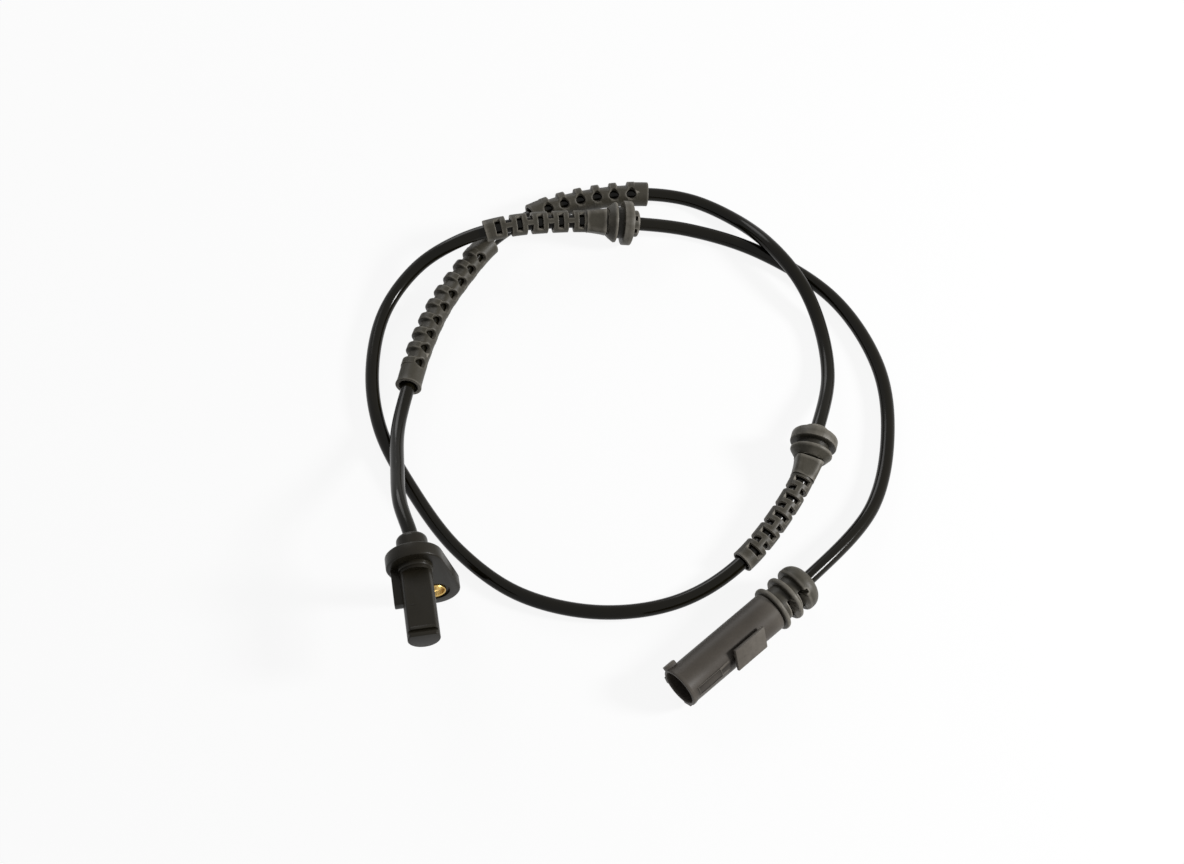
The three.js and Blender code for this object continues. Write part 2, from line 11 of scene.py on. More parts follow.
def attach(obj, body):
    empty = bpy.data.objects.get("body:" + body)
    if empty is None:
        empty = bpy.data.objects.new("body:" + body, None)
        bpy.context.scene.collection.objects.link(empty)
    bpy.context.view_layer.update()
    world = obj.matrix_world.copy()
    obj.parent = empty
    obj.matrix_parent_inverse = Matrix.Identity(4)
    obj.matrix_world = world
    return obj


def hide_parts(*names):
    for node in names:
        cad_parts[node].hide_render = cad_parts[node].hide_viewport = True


bl_info = {
    "name": "Wheel Speed Sensor",
    "version": (1, 0, 0),
    "blender": (4, 5, 0),
    "location": "View3D > Sidebar > Wheel Sensor",
    "description": "Builds a wheel speed sensor with its cable, ribbed sleeves, panel grommets and plug",
    "category": "Add Mesh",
}

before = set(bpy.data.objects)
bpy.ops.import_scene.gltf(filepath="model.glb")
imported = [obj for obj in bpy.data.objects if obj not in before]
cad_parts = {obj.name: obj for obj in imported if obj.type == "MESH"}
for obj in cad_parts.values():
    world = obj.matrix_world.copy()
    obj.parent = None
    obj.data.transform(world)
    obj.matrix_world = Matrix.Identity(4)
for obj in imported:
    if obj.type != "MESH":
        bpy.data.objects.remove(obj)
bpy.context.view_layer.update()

# Places that the pieces share with the frame, in metres
HEAD_PLACE = Vector((-0.00221855, 0.00735, 0.027064))
EAR_CENTRE = Vector((0.0052371, 0, -0.018264))
BOSS_END = 0.0118
JACKET_IN_HEAD = 0.0078
JACKET_IN_PLUG = 0.014
PLUG_PLACE = Vector((0.1275, -0.008, 0.00875))
PLUG_HEADING = math.radians(212.9)
PLUG_DIP = math.radians(1.3)
PLUG_WAY = Vector(
    (
        math.cos(PLUG_HEADING) * math.cos(PLUG_DIP),
        math.sin(PLUG_HEADING) * math.cos(PLUG_DIP),
        -math.sin(PLUG_DIP),
    )
)
UP_AND_FRONT = Vector((-0.08, -0.52, 0.85)).normalized()
RAIL_ANGLE = 31
RAIL_SLANT = math.radians(15)
# Points nearer than this become one
WELD = 1e-6

# Material of each slot
FINISHES = {
    "rubber": "Matte Rubber",
    "cable_jacket": "Glossy Jacket",
    "head_plastic": "Head Plastic",
    "plug_plastic": "Plug Plastic",
    "brass": "Turned Brass",
    "tinned_copper": "Tinned Copper",
}
LOOP_POINTS = [
    (-0.0045, 0.0345, 0.024), (-0.004, 0.0535, 0.0155), (-0.002, 0.075, 0.0072),
    (0.0035, 0.0935, 0.0048), (0.0095, 0.109, 0.0047), (0.018, 0.1255, 0.0047),
    (0.028, 0.139, 0.0047), (0.041, 0.153, 0.0047), (0.058, 0.163, 0.0047),
    (0.077, 0.1675, 0.0047), (0.1, 0.167, 0.0047), (0.119, 0.1625, 0.0028),
    (0.135, 0.1485, 0.0041), (0.145, 0.13, 0.0086), (0.152, 0.1135, 0.0076),
    (0.1555, 0.0975, 0.0032), (0.1535, 0.0745, 0.0036), (0.143, 0.0485, 0.0087),
    (0.1335, 0.0305, 0.0068), (0.108, 0.0045, 0.0044), (0.0845, -0.006, 0.0028),
    (0.0575, -0.006, 0.0027), (0.0315, 0.005, 0.0027), (0.013, 0.025, 0.0027),
    (0, 0.0515, 0.0027), (-0.0085, 0.079, 0.0027), (-0.0085, 0.105, 0.0027),
    (-0.001, 0.1295, 0.0031), (0.013, 0.1445, 0.0068), (0.028, 0.1495, 0.012),
    (0.045, 0.152, 0.0142), (0.068, 0.153, 0.012), (0.0915, 0.151, 0.009),
    (0.1165, 0.148, 0.0032), (0.1405, 0.134, 0.0028), (0.163, 0.109, 0.0027),
    (0.1725, 0.078, 0.0027), (0.17, 0.05, 0.0027), (0.157, 0.019, 0.0038),
]
LEAD_POINTS = [
    HEAD_PLACE + Vector((0, BOSS_END - JACKET_IN_HEAD, 0)),
    HEAD_PLACE + Vector((0, BOSS_END, 0)),
    *map(Vector, LOOP_POINTS),
    PLUG_PLACE,
    PLUG_PLACE + PLUG_WAY * JACKET_IN_PLUG,
]


def length(name, description, default):
    return bpy.props.FloatProperty(
        name=name,
        description=description,
        default=default,
        min=0,
        precision=5,
        subtype="DISTANCE",
        unit="LENGTH",
    )


def colour(name, description, default):
    return bpy.props.FloatVectorProperty(
        name=name, description=description, default=default, min=0, max=1, size=3, subtype="COLOR"
    )


class SensorHeadSizes(bpy.types.PropertyGroup):
    probe_diameter: length("Probe", "Diameter of the probe", 0.0108)
    probe_length: length("Probe length", "From the flange to the tip", 0.0265)
    flat_height: length("Flat", "From the probe's axis up to its flat top", 0.0033)
    flange_diameter: length("Flange", "Diameter of the round flange", 0.0192)
    flange_thickness: length("Thickness", "Thickness of the flange and its ear", 0.0048)
    ear_radius: length("Ear", "Radius of the ear round the bush", 0.0088)
    boss_diameter: length("Boss", "Diameter of the rear boss", 0.0105)
    bush_diameter: length("Bush", "Outer diameter of the brass bush", 0.008)
    bush_bore: length("Bush bore", "Bore of the brass bush", 0.0064)


class LeadSizes(bpy.types.PropertyGroup):
    cable_diameter: length("Cable", "Diameter of the jacket", 0.005)
    bore: length("Bore", "Bore of the rubber pieces on the cable", 0.0059)


class SleeveSizes(bpy.types.PropertyGroup):
    rib_diameter: length("Ribs", "Diameter over the ribs", 0.0095)
    body_diameter: length("Body", "Diameter of the collars and the windowed side", 0.0091)
    valley_diameter: length("Valleys", "Diameter between the ribs", 0.0069)
    rib_length: length("Rib length", "Length of each rib along the cable", 0.0029)
    pitch: length("Pitch", "From one window to the next", 0.0066)
    window_length: length("Window", "Length of each window along the cable", 0.0038)
    window_span: length("Window span", "Width of each window round the sleeve", 0.0048)


class GrommetSizes(bpy.types.PropertyGroup):
    lattice_diameter: length("Lattice", "Diameter of the slotted bend relief", 0.0082)
    pitch: length("Pitch", "From one slot to the next", 0.00395)
    slot_length: length("Slot", "Length of each slot along the cable", 0.0021)
    bar_width: length("Bar", "Width of the bars that the side slots leave", 0.0019)
    neck_diameter: length("Neck", "Width of the neck over its flat panels", 0.0098)
    lip_diameter: length("Lip", "Diameter of the barbed lip", 0.015)
    groove_diameter: length("Groove", "Diameter of the groove for the panel's edge", 0.0118)
    flange_diameter: length("Flange", "Diameter of the flange", 0.0166)
    stub_diameter: length("Stub", "Diameter of the stub behind the flange", 0.0099)


class PlugSizes(bpy.types.PropertyGroup):
    body_diameter: length("Body", "Diameter of the housing", 0.0139)
    rim_diameter: length("Rim", "Diameter of the rim at the mouth", 0.0144)
    mouth_diameter: length("Mouth", "Inner diameter of the mouth", 0.0123)
    whole_length: length("Length", "From the boot's rear end to the mouth", 0.0588)
    disc_diameter: length("Discs", "Diameter of the boot's discs", 0.0163)
    hub_diameter: length("Hub", "Diameter between the boot's discs", 0.0124)
    pin_diameter: length("Pins", "Diameter of the contact pins", 0.0016)


class SensorColours(bpy.types.PropertyGroup):
    rubber: colour("Rubber", "Sleeves, grommets and boot", (0.044, 0.0395, 0.0295))
    jacket: colour("Jacket", "Cable", (0.0058, 0.0048, 0.0023))
    head: colour("Head", "Sensor head", (0.0142, 0.012, 0.0076))
    plug: colour("Plug", "Plug housing", (0.06, 0.052, 0.0435))
    brass: colour("Brass", "Bush in the ear", (0.73, 0.5, 0.17))


class StageSettings(bpy.types.PropertyGroup):
    key_power: bpy.props.FloatProperty(
        name="Key light", description="Power of the key light", default=9, min=0, unit="POWER"
    )
    back_power: bpy.props.FloatProperty(
        name="Back light", description="Power of the light behind", default=2.5, min=0, unit="POWER"
    )
    sky: bpy.props.FloatProperty(
        name="Sky", description="Strength of the light from all round", default=0.2, min=0
    )


class LeadPath:
    """The cable's centre line: a centripetal Catmull-Rom curve through the lead's points."""

    def __init__(self, points):
        ends = [2 * points[0] - points[1], *points, 2 * points[-1] - points[-2]]
        self.spans = []
        for before, start, end, after in zip(ends, ends[1:], ends[2:], ends[3:]):
            a, b, c = (
                (q - p).length ** 0.5 for p, q in ((before, start), (start, end), (end, after))
            )
            leave = ((start - before) / a - (end - before) / (a + b) + (end - start) / b) * b
            arrive = ((end - start) / b - (after - start) / (b + c) + (after - end) / c) * b
            self.spans.append((start, leave, end, arrive))
        self.distances, self.samples, self.frames = [], [], {}
        steps = 80
        for start, leave, end, arrive in self.spans:
            for step in range(steps):
                self._sample(start, leave, end, arrive, step / steps)
        self._sample(*self.spans[-1], 1)
        self.length = self.distances[-1]

    def _sample(self, start, leave, end, arrive, t):
        place = (
            (2 * t**3 - 3 * t**2 + 1) * start
            + (t**3 - 2 * t**2 + t) * leave
            + (3 * t**2 - 2 * t**3) * end
            + (t**3 - t**2) * arrive
        )
        way = (
            (6 * t**2 - 6 * t) * (start - end)
            + (3 * t**2 - 4 * t + 1) * leave
            + (3 * t**2 - 2 * t) * arrive
        ).normalized()
        before = self.distances[-1] + (place - self.samples[-1][0]).length if self.samples else 0
        self.distances.append(before)
        self.samples.append((place, way))

    def at(self, distance):
        upper = min(max(bisect_left(self.distances, distance), 1), len(self.samples) - 1)
        low, high = self.distances[upper - 1], self.distances[upper]
        share = (distance - low) / (high - low)
        (place_a, way_a), (place_b, way_b) = self.samples[upper - 1], self.samples[upper]
        return place_a.lerp(place_b, share), way_a.lerp(way_b, share).normalized()

    def frame(self, distance, backwards=False):
        """X faces up and to the front, and Y runs along the cable, or against it if backwards."""
        key = (round(distance, 7), backwards)
        if key not in self.frames:
            place, way = self.at(distance)
            self.frames[key] = frame_of(place, -way if backwards else way)
        return self.frames[key]


def frame_of(place, way):
    out = (UP_AND_FRONT - way * UP_AND_FRONT.dot(way)).normalized()
    side = out.cross(way)
    rows = zip(out, way, side, place)
    return Matrix([list(row) for row in rows] + [[0, 0, 0, 1]])


lead_path = LeadPath(LEAD_POINTS)


def smooth_step(low, high, value):
    share = min(max((value - low) / (high - low), 0), 1)
    return share * share * (3 - 2 * share)


def alone(piece):
    bpy.ops.object.select_all(action="DESELECT")
    piece.select_set(True)
    bpy.context.view_layer.objects.active = piece


def edit_all(piece):
    alone(piece)
    bpy.ops.object.mode_set(mode="EDIT")
    bpy.ops.mesh.select_all(action="SELECT")


def leave_edit():
    bpy.ops.object.mode_set(mode="OBJECT")


def select_faces(piece, test):
    """Goes into edit mode with only the faces selected whose middle and normal pass the test."""
    alone(piece)
    bpy.ops.object.mode_set(mode="EDIT")
    bpy.ops.mesh.select_mode(type="FACE")
    bpy.ops.mesh.select_all(action="DESELECT")
    shape = bmesh.from_edit_mesh(piece.data)
    found = False
    for face in shape.faces:
        if test(face.calc_center_median(), face.normal):
            face.select_set(True)
            found = True
    bmesh.update_edit_mesh(piece.data)
    return found


def apply_modifier(piece, kind, **values):
    alone(piece)
    modifier = piece.modifiers.new(kind.title(), kind)
    for name, value in values.items():
        setattr(modifier, name, value)
    bpy.ops.object.modifier_apply(modifier=modifier.name)


def round_edges(piece, width, angle=40, segments=3):
    apply_modifier(
        piece,
        "BEVEL",
        width=width,
        segments=segments,
        limit_method="ANGLE",
        angle_limit=math.radians(angle),
        miter_outer="MITER_ARC",
    )


def combine(piece, other, operation="UNION"):
    """Adds the other form to the piece, or cuts it out, and deletes the other."""
    apply_modifier(piece, "BOOLEAN", operation=operation, object=other, solver="EXACT")
    bpy.data.objects.remove(other, do_unlink=True)


def move_into(piece, matrix):
    alone(piece)
    piece.matrix_world = matrix
    bpy.ops.object.transform_apply(location=True, rotation=True, scale=True)


def rod(radius, start, end, sides=96, x=0, z=0):
    """Cylinder along Y."""
    bpy.ops.object.select_all(action="DESELECT")
    bpy.ops.mesh.primitive_cylinder_add(
        vertices=sides,
        radius=radius,
        depth=end - start,
        location=(x, (start + end) / 2, z),
        rotation=(math.pi / 2, 0, 0),
    )
    bpy.ops.object.transform_apply(location=True, rotation=True, scale=True)
    return bpy.context.object


def block(low, high, rounding=0):
    bpy.ops.object.select_all(action="DESELECT")
    middle = [(a + b) / 2 for a, b in zip(low, high)]
    bpy.ops.mesh.primitive_cube_add(size=1, location=middle)
    piece = bpy.context.object
    piece.scale = [b - a for a, b in zip(low, high)]
    bpy.ops.object.transform_apply(location=True, rotation=True, scale=True)
    if rounding:
        round_edges(piece, rounding, segments=2)
    return piece


def plug_block(angle, width, inner, outer, start, end, rounding=0.0002):
    """Block that stands out of the plug, turned about its axis from its upper side."""
    piece = block((inner, start, -width / 2), (outer, end, width / 2), rounding)
    move_into(piece, Matrix.Rotation(-math.radians(angle), 4, "Y"))
    return piece


def rolled_tube(columns, rows, is_open, spot, bore):
    """Tube rolled up from a flat grid, without its open cells, and with a wall that reaches in to the bore.

    spot gives the angle about Y, the station along Y and the radius of each grid point.
    """
    bpy.ops.object.select_all(action="DESELECT")
    bpy.ops.mesh.primitive_grid_add(x_subdivisions=columns, y_subdivisions=rows, size=2)
    tube = bpy.context.object
    if len(tube.data.polygons) != columns * rows:
        raise RuntimeError("the grid has another number of faces than asked for")

    def cell(place):
        return (place.x + 1) / 2 * columns, (place.y + 1) / 2 * rows

    if select_faces(tube, lambda middle, normal: is_open(*map(int, cell(middle)))):
        bpy.ops.mesh.delete(type="FACE")
    leave_edit()
    for vertex in tube.data.vertices:
        turn, station, radius = spot(*map(round, cell(vertex.co)))
        vertex.co = radius * math.cos(turn), station, -radius * math.sin(turn)
    edit_all(tube)
    bpy.ops.mesh.remove_doubles(threshold=WELD)
    leave_edit()
    apply_modifier(tube, "SOLIDIFY", thickness=0.0003, offset=-1)
    vertices = tube.data.vertices
    count = len(vertices) // 2
    for first, second in zip(vertices[:count], vertices[count:]):
        inner, outer = sorted((first, second), key=lambda v: math.hypot(v.co.x, v.co.z))
        share = bore(outer.co.y) / math.hypot(outer.co.x, outer.co.z)
        inner.co = outer.co.x * share, outer.co.y, outer.co.z * share
    edit_all(tube)
    bpy.ops.mesh.remove_doubles(threshold=WELD)
    leave_edit()
    return tube


def turned_tube(columns, rows, bore, is_open=lambda i, j: False, seam=0):
    """Rolled tube, round all along its rows of stations and radii; seam is its first angle in degrees."""

    def spot(i, j):
        return math.radians(i * 360 / columns + seam), rows[j][0], rows[j][1]

    return rolled_tube(columns, len(rows) - 1, is_open, spot, bore)


def widened(radius, widening, edge, reach):
    """Radius of a bore that widens over the last stretch before its edge."""
    return radius + widening * max(0, 1 - edge / reach)


def bend_along_lead(piece, start, backwards=False):
    """Bends a straight piece, made along Y from 0, so that it follows the cable."""
    for vertex in piece.data.vertices:
        x, y, z = vertex.co
        distance = start - y if backwards else start + y
        vertex.co = lead_path.frame(distance, backwards) @ Vector((x, 0, z))


def hand_over(piece, name, slot, *nodes, smooth=35):
    """Names a finished piece, gives it its finish and puts it in the place of its CAD nodes."""
    alone(piece)
    piece.name = name
    piece.data.name = name
    piece.data.materials.clear()
    piece.data.materials.append(bpy.data.materials[FINISHES[slot]])
    bpy.ops.object.shade_smooth_by_angle(angle=math.radians(smooth))
    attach(piece, "root")
    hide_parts(*nodes)


# Finishes


def new_group(name, inputs, outputs):
    group = bpy.data.node_groups.new(name, "ShaderNodeTree")
    for label, kind, value in inputs:
        socket = group.interface.new_socket(name=label, in_out="INPUT", socket_type=kind)
        socket.default_value = value
    for label, kind in outputs:
        group.interface.new_socket(name=label, in_out="OUTPUT", socket_type=kind)
    return group, group.nodes.new("NodeGroupInput"), group.nodes.new("NodeGroupOutput")


def math_node(tree, operation, first, second):
    node = tree.nodes.new("ShaderNodeMath")
    node.operation = operation
    for socket, value in zip(node.inputs, (first, second)):
        if isinstance(value, (int, float)):
            socket.default_value = value
        else:
            tree.links.new(value, socket)
    return node.outputs[0]


def mix_colours(tree, amount, first, second, blend="MIX"):
    node = tree.nodes.new("ShaderNodeMix")
    node.data_type = "RGBA"
    node.blend_type = blend
    for socket, value in ((node.inputs[0], amount), (node.inputs[6], first), (node.inputs[7], second)):
        if isinstance(value, bpy.types.NodeSocket):
            tree.links.new(value, socket)
        else:
            socket.default_value = value
    return node.outputs[2]


def noise_node(tree, vector, scale, detail=2.0, roughness=0.5):
    node = tree.nodes.new("ShaderNodeTexNoise")
    tree.links.new(vector, node.inputs["Vector"])
    if isinstance(scale, bpy.types.NodeSocket):
        tree.links.new(scale, node.inputs["Scale"])
    else:
        node.inputs["Scale"].default_value = scale
    node.inputs["Detail"].default_value = detail
    node.inputs["Roughness"].default_value = roughness
    return node.outputs["Fac"]


def ramp_node(tree, value, start, end, top):
    """0 up to the start, rising to the top at the end."""
    node = tree.nodes.new("ShaderNodeMapRange")
    tree.links.new(value, node.inputs["Value"])
    node.inputs["From Min"].default_value = start
    node.inputs["From Max"].default_value = end
    node.inputs["To Max"].default_value = top
    return node.outputs["Result"]


def moulded_skin_group():
    """Uneven colour and gloss of a moulded surface, with its fine grain."""
    group, given, result = new_group(
        "Moulded Skin",
        [
            ("Colour", "NodeSocketColor", (0.05, 0.05, 0.05, 1)),
            ("Unevenness", "NodeSocketFloat", 0.2),
            ("Roughness", "NodeSocketFloat", 0.5),
            ("Grain Scale", "NodeSocketFloat", 3000),
        ],
        [
            ("Colour", "NodeSocketColor"),
            ("Roughness", "NodeSocketFloat"),
            ("Height", "NodeSocketFloat"),
        ],
    )
    flow_scale, speckle_scale = 140, 1500
    flow_share, speckle_share = 0.6, 0.4
    gloss_change = 0.12
    place = group.nodes.new("ShaderNodeTexCoord").outputs["Object"]
    flow = noise_node(group, place, flow_scale, 3, 0.6)
    speckle = noise_node(group, place, speckle_scale, 2, 0.7)
    grain = noise_node(group, place, given.outputs["Grain Scale"], 2, 0.6)
    both = math_node(
        group,
        "ADD",
        math_node(group, "MULTIPLY", flow, flow_share),
        math_node(group, "MULTIPLY", speckle, speckle_share),
    )
    centred = math_node(group, "MULTIPLY", math_node(group, "SUBTRACT", both, 0.5), 2)
    change = math_node(group, "MULTIPLY", centred, given.outputs["Unevenness"])
    light = math_node(group, "ADD", change, 1)
    scaled = group.nodes.new("ShaderNodeVectorMath")
    scaled.operation = "SCALE"
    group.links.new(given.outputs["Colour"], scaled.inputs[0])
    group.links.new(light, scaled.inputs["Scale"])
    group.links.new(scaled.outputs[0], result.inputs["Colour"])
    gloss = math_node(group, "MULTIPLY", centred, gloss_change)
    rough = math_node(group, "ADD", given.outputs["Roughness"], gloss)
    group.links.new(rough, result.inputs["Roughness"])
    group.links.new(grain, result.inputs["Height"])
    return group


def painted_edge_light_group():
    """Painted highlight, a lighter colour on the outer edges, and painted shade, a darker colour in the
    hollows.
    """
    group, given, result = new_group(
        "Painted Edge Highlight And Hollow Shade",
        [
            ("Colour", "NodeSocketColor", (0.05, 0.05, 0.05, 1)),
            ("Edge Colour", "NodeSocketColor", (0.1, 0.1, 0.1, 1)),
            ("Amount", "NodeSocketFloat", 0.5),
        ],
        [("Colour", "NodeSocketColor")],
    )
    # Pointiness is 0.5 on a flat surface, more on an edge and less in a hollow
    bend = group.nodes.new("ShaderNodeNewGeometry").outputs["Pointiness"]
    # Painted highlight on the outer edges, broken up in patches
    painted_light = ramp_node(group, bend, 0.51, 0.57, 1)
    place = group.nodes.new("ShaderNodeTexCoord").outputs["Object"]
    patch_scale = 500
    patchy = math_node(group, "ADD", noise_node(group, place, patch_scale), 0.3)
    mask = math_node(group, "MULTIPLY", painted_light, patchy)
    amount = math_node(group, "MULTIPLY", mask, given.outputs["Amount"])
    mixed = mix_colours(group, amount, given.outputs["Colour"], given.outputs["Edge Colour"])
    # Painted shade in the hollows, a near-black colour mixed in
    hollow = ramp_node(group, bend, 0.49, 0.42, 0.65)
    painted_shade_colour = (0.004, 0.0038, 0.003, 1)
    group.links.new(mix_colours(group, hollow, mixed, painted_shade_colour), result.inputs["Colour"])
    return group


def group_node(tree, group, **values):
    node = tree.nodes.new("ShaderNodeGroup")
    node.node_tree = group
    for name, value in values.items():
        socket = node.inputs[name.replace("_", " ").title()]
        if isinstance(value, bpy.types.NodeSocket):
            tree.links.new(value, socket)
        else:
            socket.default_value = value
    return node


def moulded_material(
    name, colour, roughness, unevenness, grain, depth, edge=None, edge_amount=0.0, specular=0.3
):
    """Moulded plastic or rubber; with an edge colour it also gets a painted highlight on its edges and
    painted shade in its hollows.
    """
    material = bpy.data.materials.new(name)
    material.use_nodes = True
    tree = material.node_tree
    shader = tree.nodes["Principled BSDF"]
    skin = group_node(
        tree,
        bpy.data.node_groups["Moulded Skin"],
        colour=(*colour, 1),
        unevenness=unevenness,
        roughness=roughness,
        grain_scale=grain,
    )
    shade = skin.outputs["Colour"]
    # Painted highlight on the edges in the edge colour, and painted shade in the hollows
    if edge:
        painted_light = group_node(
            tree,
            bpy.data.node_groups["Painted Edge Highlight And Hollow Shade"],
            colour=shade,
            edge_colour=(*edge, 1),
            amount=edge_amount,
        )
        shade = painted_light.outputs["Colour"]
    tree.links.new(shade, shader.inputs["Base Color"])
    tree.links.new(skin.outputs["Roughness"], shader.inputs["Roughness"])
    bump = tree.nodes.new("ShaderNodeBump")
    bump.inputs["Strength"].default_value = 1
    bump.inputs["Distance"].default_value = depth
    tree.links.new(skin.outputs["Height"], bump.inputs["Height"])
    tree.links.new(bump.outputs["Normal"], shader.inputs["Normal"])
    shader.inputs["Specular IOR Level"].default_value = specular
    return material


def turned_metal(name, colour, roughness, centre, rings):
    """Metal with fine turning marks about an axis along Y."""
    material = bpy.data.materials.new(name)
    material.use_nodes = True
    tree = material.node_tree
    shader = tree.nodes["Principled BSDF"]
    shader.inputs["Metallic"].default_value = 1
    place = tree.nodes.new("ShaderNodeTexCoord").outputs["Object"]
    mapping = tree.nodes.new("ShaderNodeMapping")
    tree.links.new(place, mapping.inputs["Vector"])
    mapping.inputs["Location"].default_value = [-value for value in centre]
    wave = tree.nodes.new("ShaderNodeTexWave")
    wave.wave_type = "RINGS"
    wave.rings_direction = "Y"
    tree.links.new(mapping.outputs["Vector"], wave.inputs["Vector"])
    wave.inputs["Scale"].default_value = rings
    wave.inputs["Distortion"].default_value = 1.5
    stain = noise_node(tree, place, 900, 3, 0.6)
    darker = [value * 0.72 for value in colour]
    shade = mix_colours(tree, stain, (*darker, 1), (*colour, 1))
    tree.links.new(shade, shader.inputs["Base Color"])
    rough = math_node(tree, "ADD", math_node(tree, "MULTIPLY", stain, 0.15), roughness)
    tree.links.new(rough, shader.inputs["Roughness"])
    bump = tree.nodes.new("ShaderNodeBump")
    bump.inputs["Strength"].default_value = 0.5
    bump.inputs["Distance"].default_value = 0.00001
    tree.links.new(wave.outputs["Fac"], bump.inputs["Height"])
    tree.links.new(bump.outputs["Normal"], shader.inputs["Normal"])
    return material


def make_materials(colours):
    moulded_skin_group()
    painted_edge_light_group()
    moulded_material(
        "Matte Rubber", colours.rubber, roughness=0.44, unevenness=0.5, grain=2600, depth=0.00004,
        # Painted highlight colour on the rubber's edges; the same group paints shade in its hollows
        edge=(0.26, 0.24, 0.205), edge_amount=0.9, specular=0.2,
    )
    moulded_material(
        "Glossy Jacket", colours.jacket, roughness=0.15, unevenness=0.2, grain=1200, depth=0.000003,
        specular=0.14,
    )
    moulded_material(
        "Head Plastic", colours.head, roughness=0.34, unevenness=0.3, grain=3200, depth=0.000012,
        specular=0.16,
    )
    moulded_material(
        "Plug Plastic", colours.plug, roughness=0.42, unevenness=0.3, grain=3200, depth=0.000014,
        # Painted highlight colour on the plug's edges; the same group paints shade in its hollows
        edge=(0.15, 0.135, 0.115), edge_amount=0.6, specular=0.16,
    )
    for name, colour_value, roughness, unevenness, grain, depth in (
        ("Inner Plastic", (0.033, 0.032, 0.028), 0.55, 0.2, 3000, 0.000015),
        ("Element Package", (0.006, 0.006, 0.006), 0.4, 0.2, 4000, 0.00001),
        ("Blue Insulation", (0.024, 0.069, 0.24), 0.45, 0.1, 2500, 0.000008),
        ("Brown Insulation", (0.105, 0.042, 0.018), 0.45, 0.1, 2500, 0.000008),
    ):
        moulded_material(name, colour_value, roughness, unevenness, grain, depth)
    turned_metal("Turned Brass", colours.brass, 0.22, HEAD_PLACE + EAR_CENTRE, 1400)
    turned_metal("Tinned Copper", (0.62, 0.63, 0.65), 0.28, (0, 0, 0), 900)


# Pieces


class SENSOR_OT_stage(bpy.types.Operator):
    """Camera, floor, sky and lamps"""

    bl_idname = "sensor.stage"
    bl_label = "Stage"

    view_middle = Vector((0.0661, 0.067, 0))
    camera_place = (0.00395, -0.32555, 0.63604)
    camera_lens = 63.85
    floor_place = (0.08, 0.08, -0.0002)
    floor_colour = (0.9, 0.9, 0.9, 1)
    # How far the floor is plain white to the rays that show the background
    floor_white = 0.9
    key_place, key_size = (0.83, -0.14, 0.45), 0.2
    back_place, back_size = (-0.15, 0.85, 0.45), 0.5

    def execute(self, context):
        settings = context.scene.sensor_stage
        bpy.ops.object.select_all(action="DESELECT")
        bpy.ops.object.camera_add(location=self.camera_place)
        camera = context.object
        camera.name = "photo_camera"
        self.aim(camera)
        camera.data.sensor_width = 36
        camera.data.lens = self.camera_lens
        camera.data.clip_start = 0.01
        context.scene.camera = camera
        bpy.ops.mesh.primitive_plane_add(size=6, location=self.floor_place)
        floor = context.object
        floor.name = "floor"
        bpy.ops.object.transform_apply(location=True, rotation=True, scale=True)
        floor.data.materials.append(self.floor_material())
        self.lamp(context, "key_lamp", self.key_place, self.key_size, settings.key_power)
        self.lamp(context, "back_lamp", self.back_place, self.back_size, settings.back_power)
        self.sky(context, settings.sky)
        context.scene.view_settings.view_transform = "Standard"
        return {"FINISHED"}

    def aim(self, piece):
        way = self.view_middle - piece.location
        piece.rotation_euler = way.to_track_quat("-Z", "Y").to_euler()

    def lamp(self, context, name, place, size, power):
        bpy.ops.object.select_all(action="DESELECT")
        bpy.ops.object.light_add(type="AREA", location=place)
        lamp = context.object
        lamp.name = name
        self.aim(lamp)
        lamp.data.shape = "DISK"
        lamp.data.size = size
        lamp.data.energy = power

    def seen_ray(self, tree):
        """1 for the rays that show the background: straight from the camera, mirrored or through glass."""
        path = tree.nodes.new("ShaderNodeLightPath")
        straight = math_node(
            tree, "MAXIMUM", path.outputs["Is Camera Ray"], path.outputs["Is Glossy Ray"]
        )
        return math_node(tree, "MAXIMUM", straight, path.outputs["Is Transmission Ray"])

    def floor_material(self):
        material = bpy.data.materials.new("White Floor")
        material.use_nodes = True
        tree = material.node_tree
        tree.nodes.clear()
        output = tree.nodes.new("ShaderNodeOutputMaterial")
        mix = tree.nodes.new("ShaderNodeMixShader")
        diffuse = tree.nodes.new("ShaderNodeBsdfDiffuse")
        diffuse.inputs["Color"].default_value = self.floor_colour
        white = tree.nodes.new("ShaderNodeEmission")
        share = math_node(tree, "MULTIPLY", self.seen_ray(tree), self.floor_white)
        tree.links.new(share, mix.inputs["Fac"])
        tree.links.new(diffuse.outputs[0], mix.inputs[1])
        tree.links.new(white.outputs[0], mix.inputs[2])
        tree.links.new(mix.outputs[0], output.inputs["Surface"])
        return material

    def sky(self, context, strength):
        world = bpy.data.worlds.new("Studio")
        world.use_nodes = True
        context.scene.world = world
        tree = world.node_tree
        background = tree.nodes["Background"]
        background.inputs["Color"].default_value = (1, 1, 1, 1)
        level = tree.nodes.new("ShaderNodeMapRange")
        tree.links.new(self.seen_ray(tree), level.inputs["Value"])
        level.inputs["To Min"].default_value = strength
        level.inputs["To Max"].default_value = 1
        tree.links.new(level.outputs["Result"], background.inputs["Strength"])


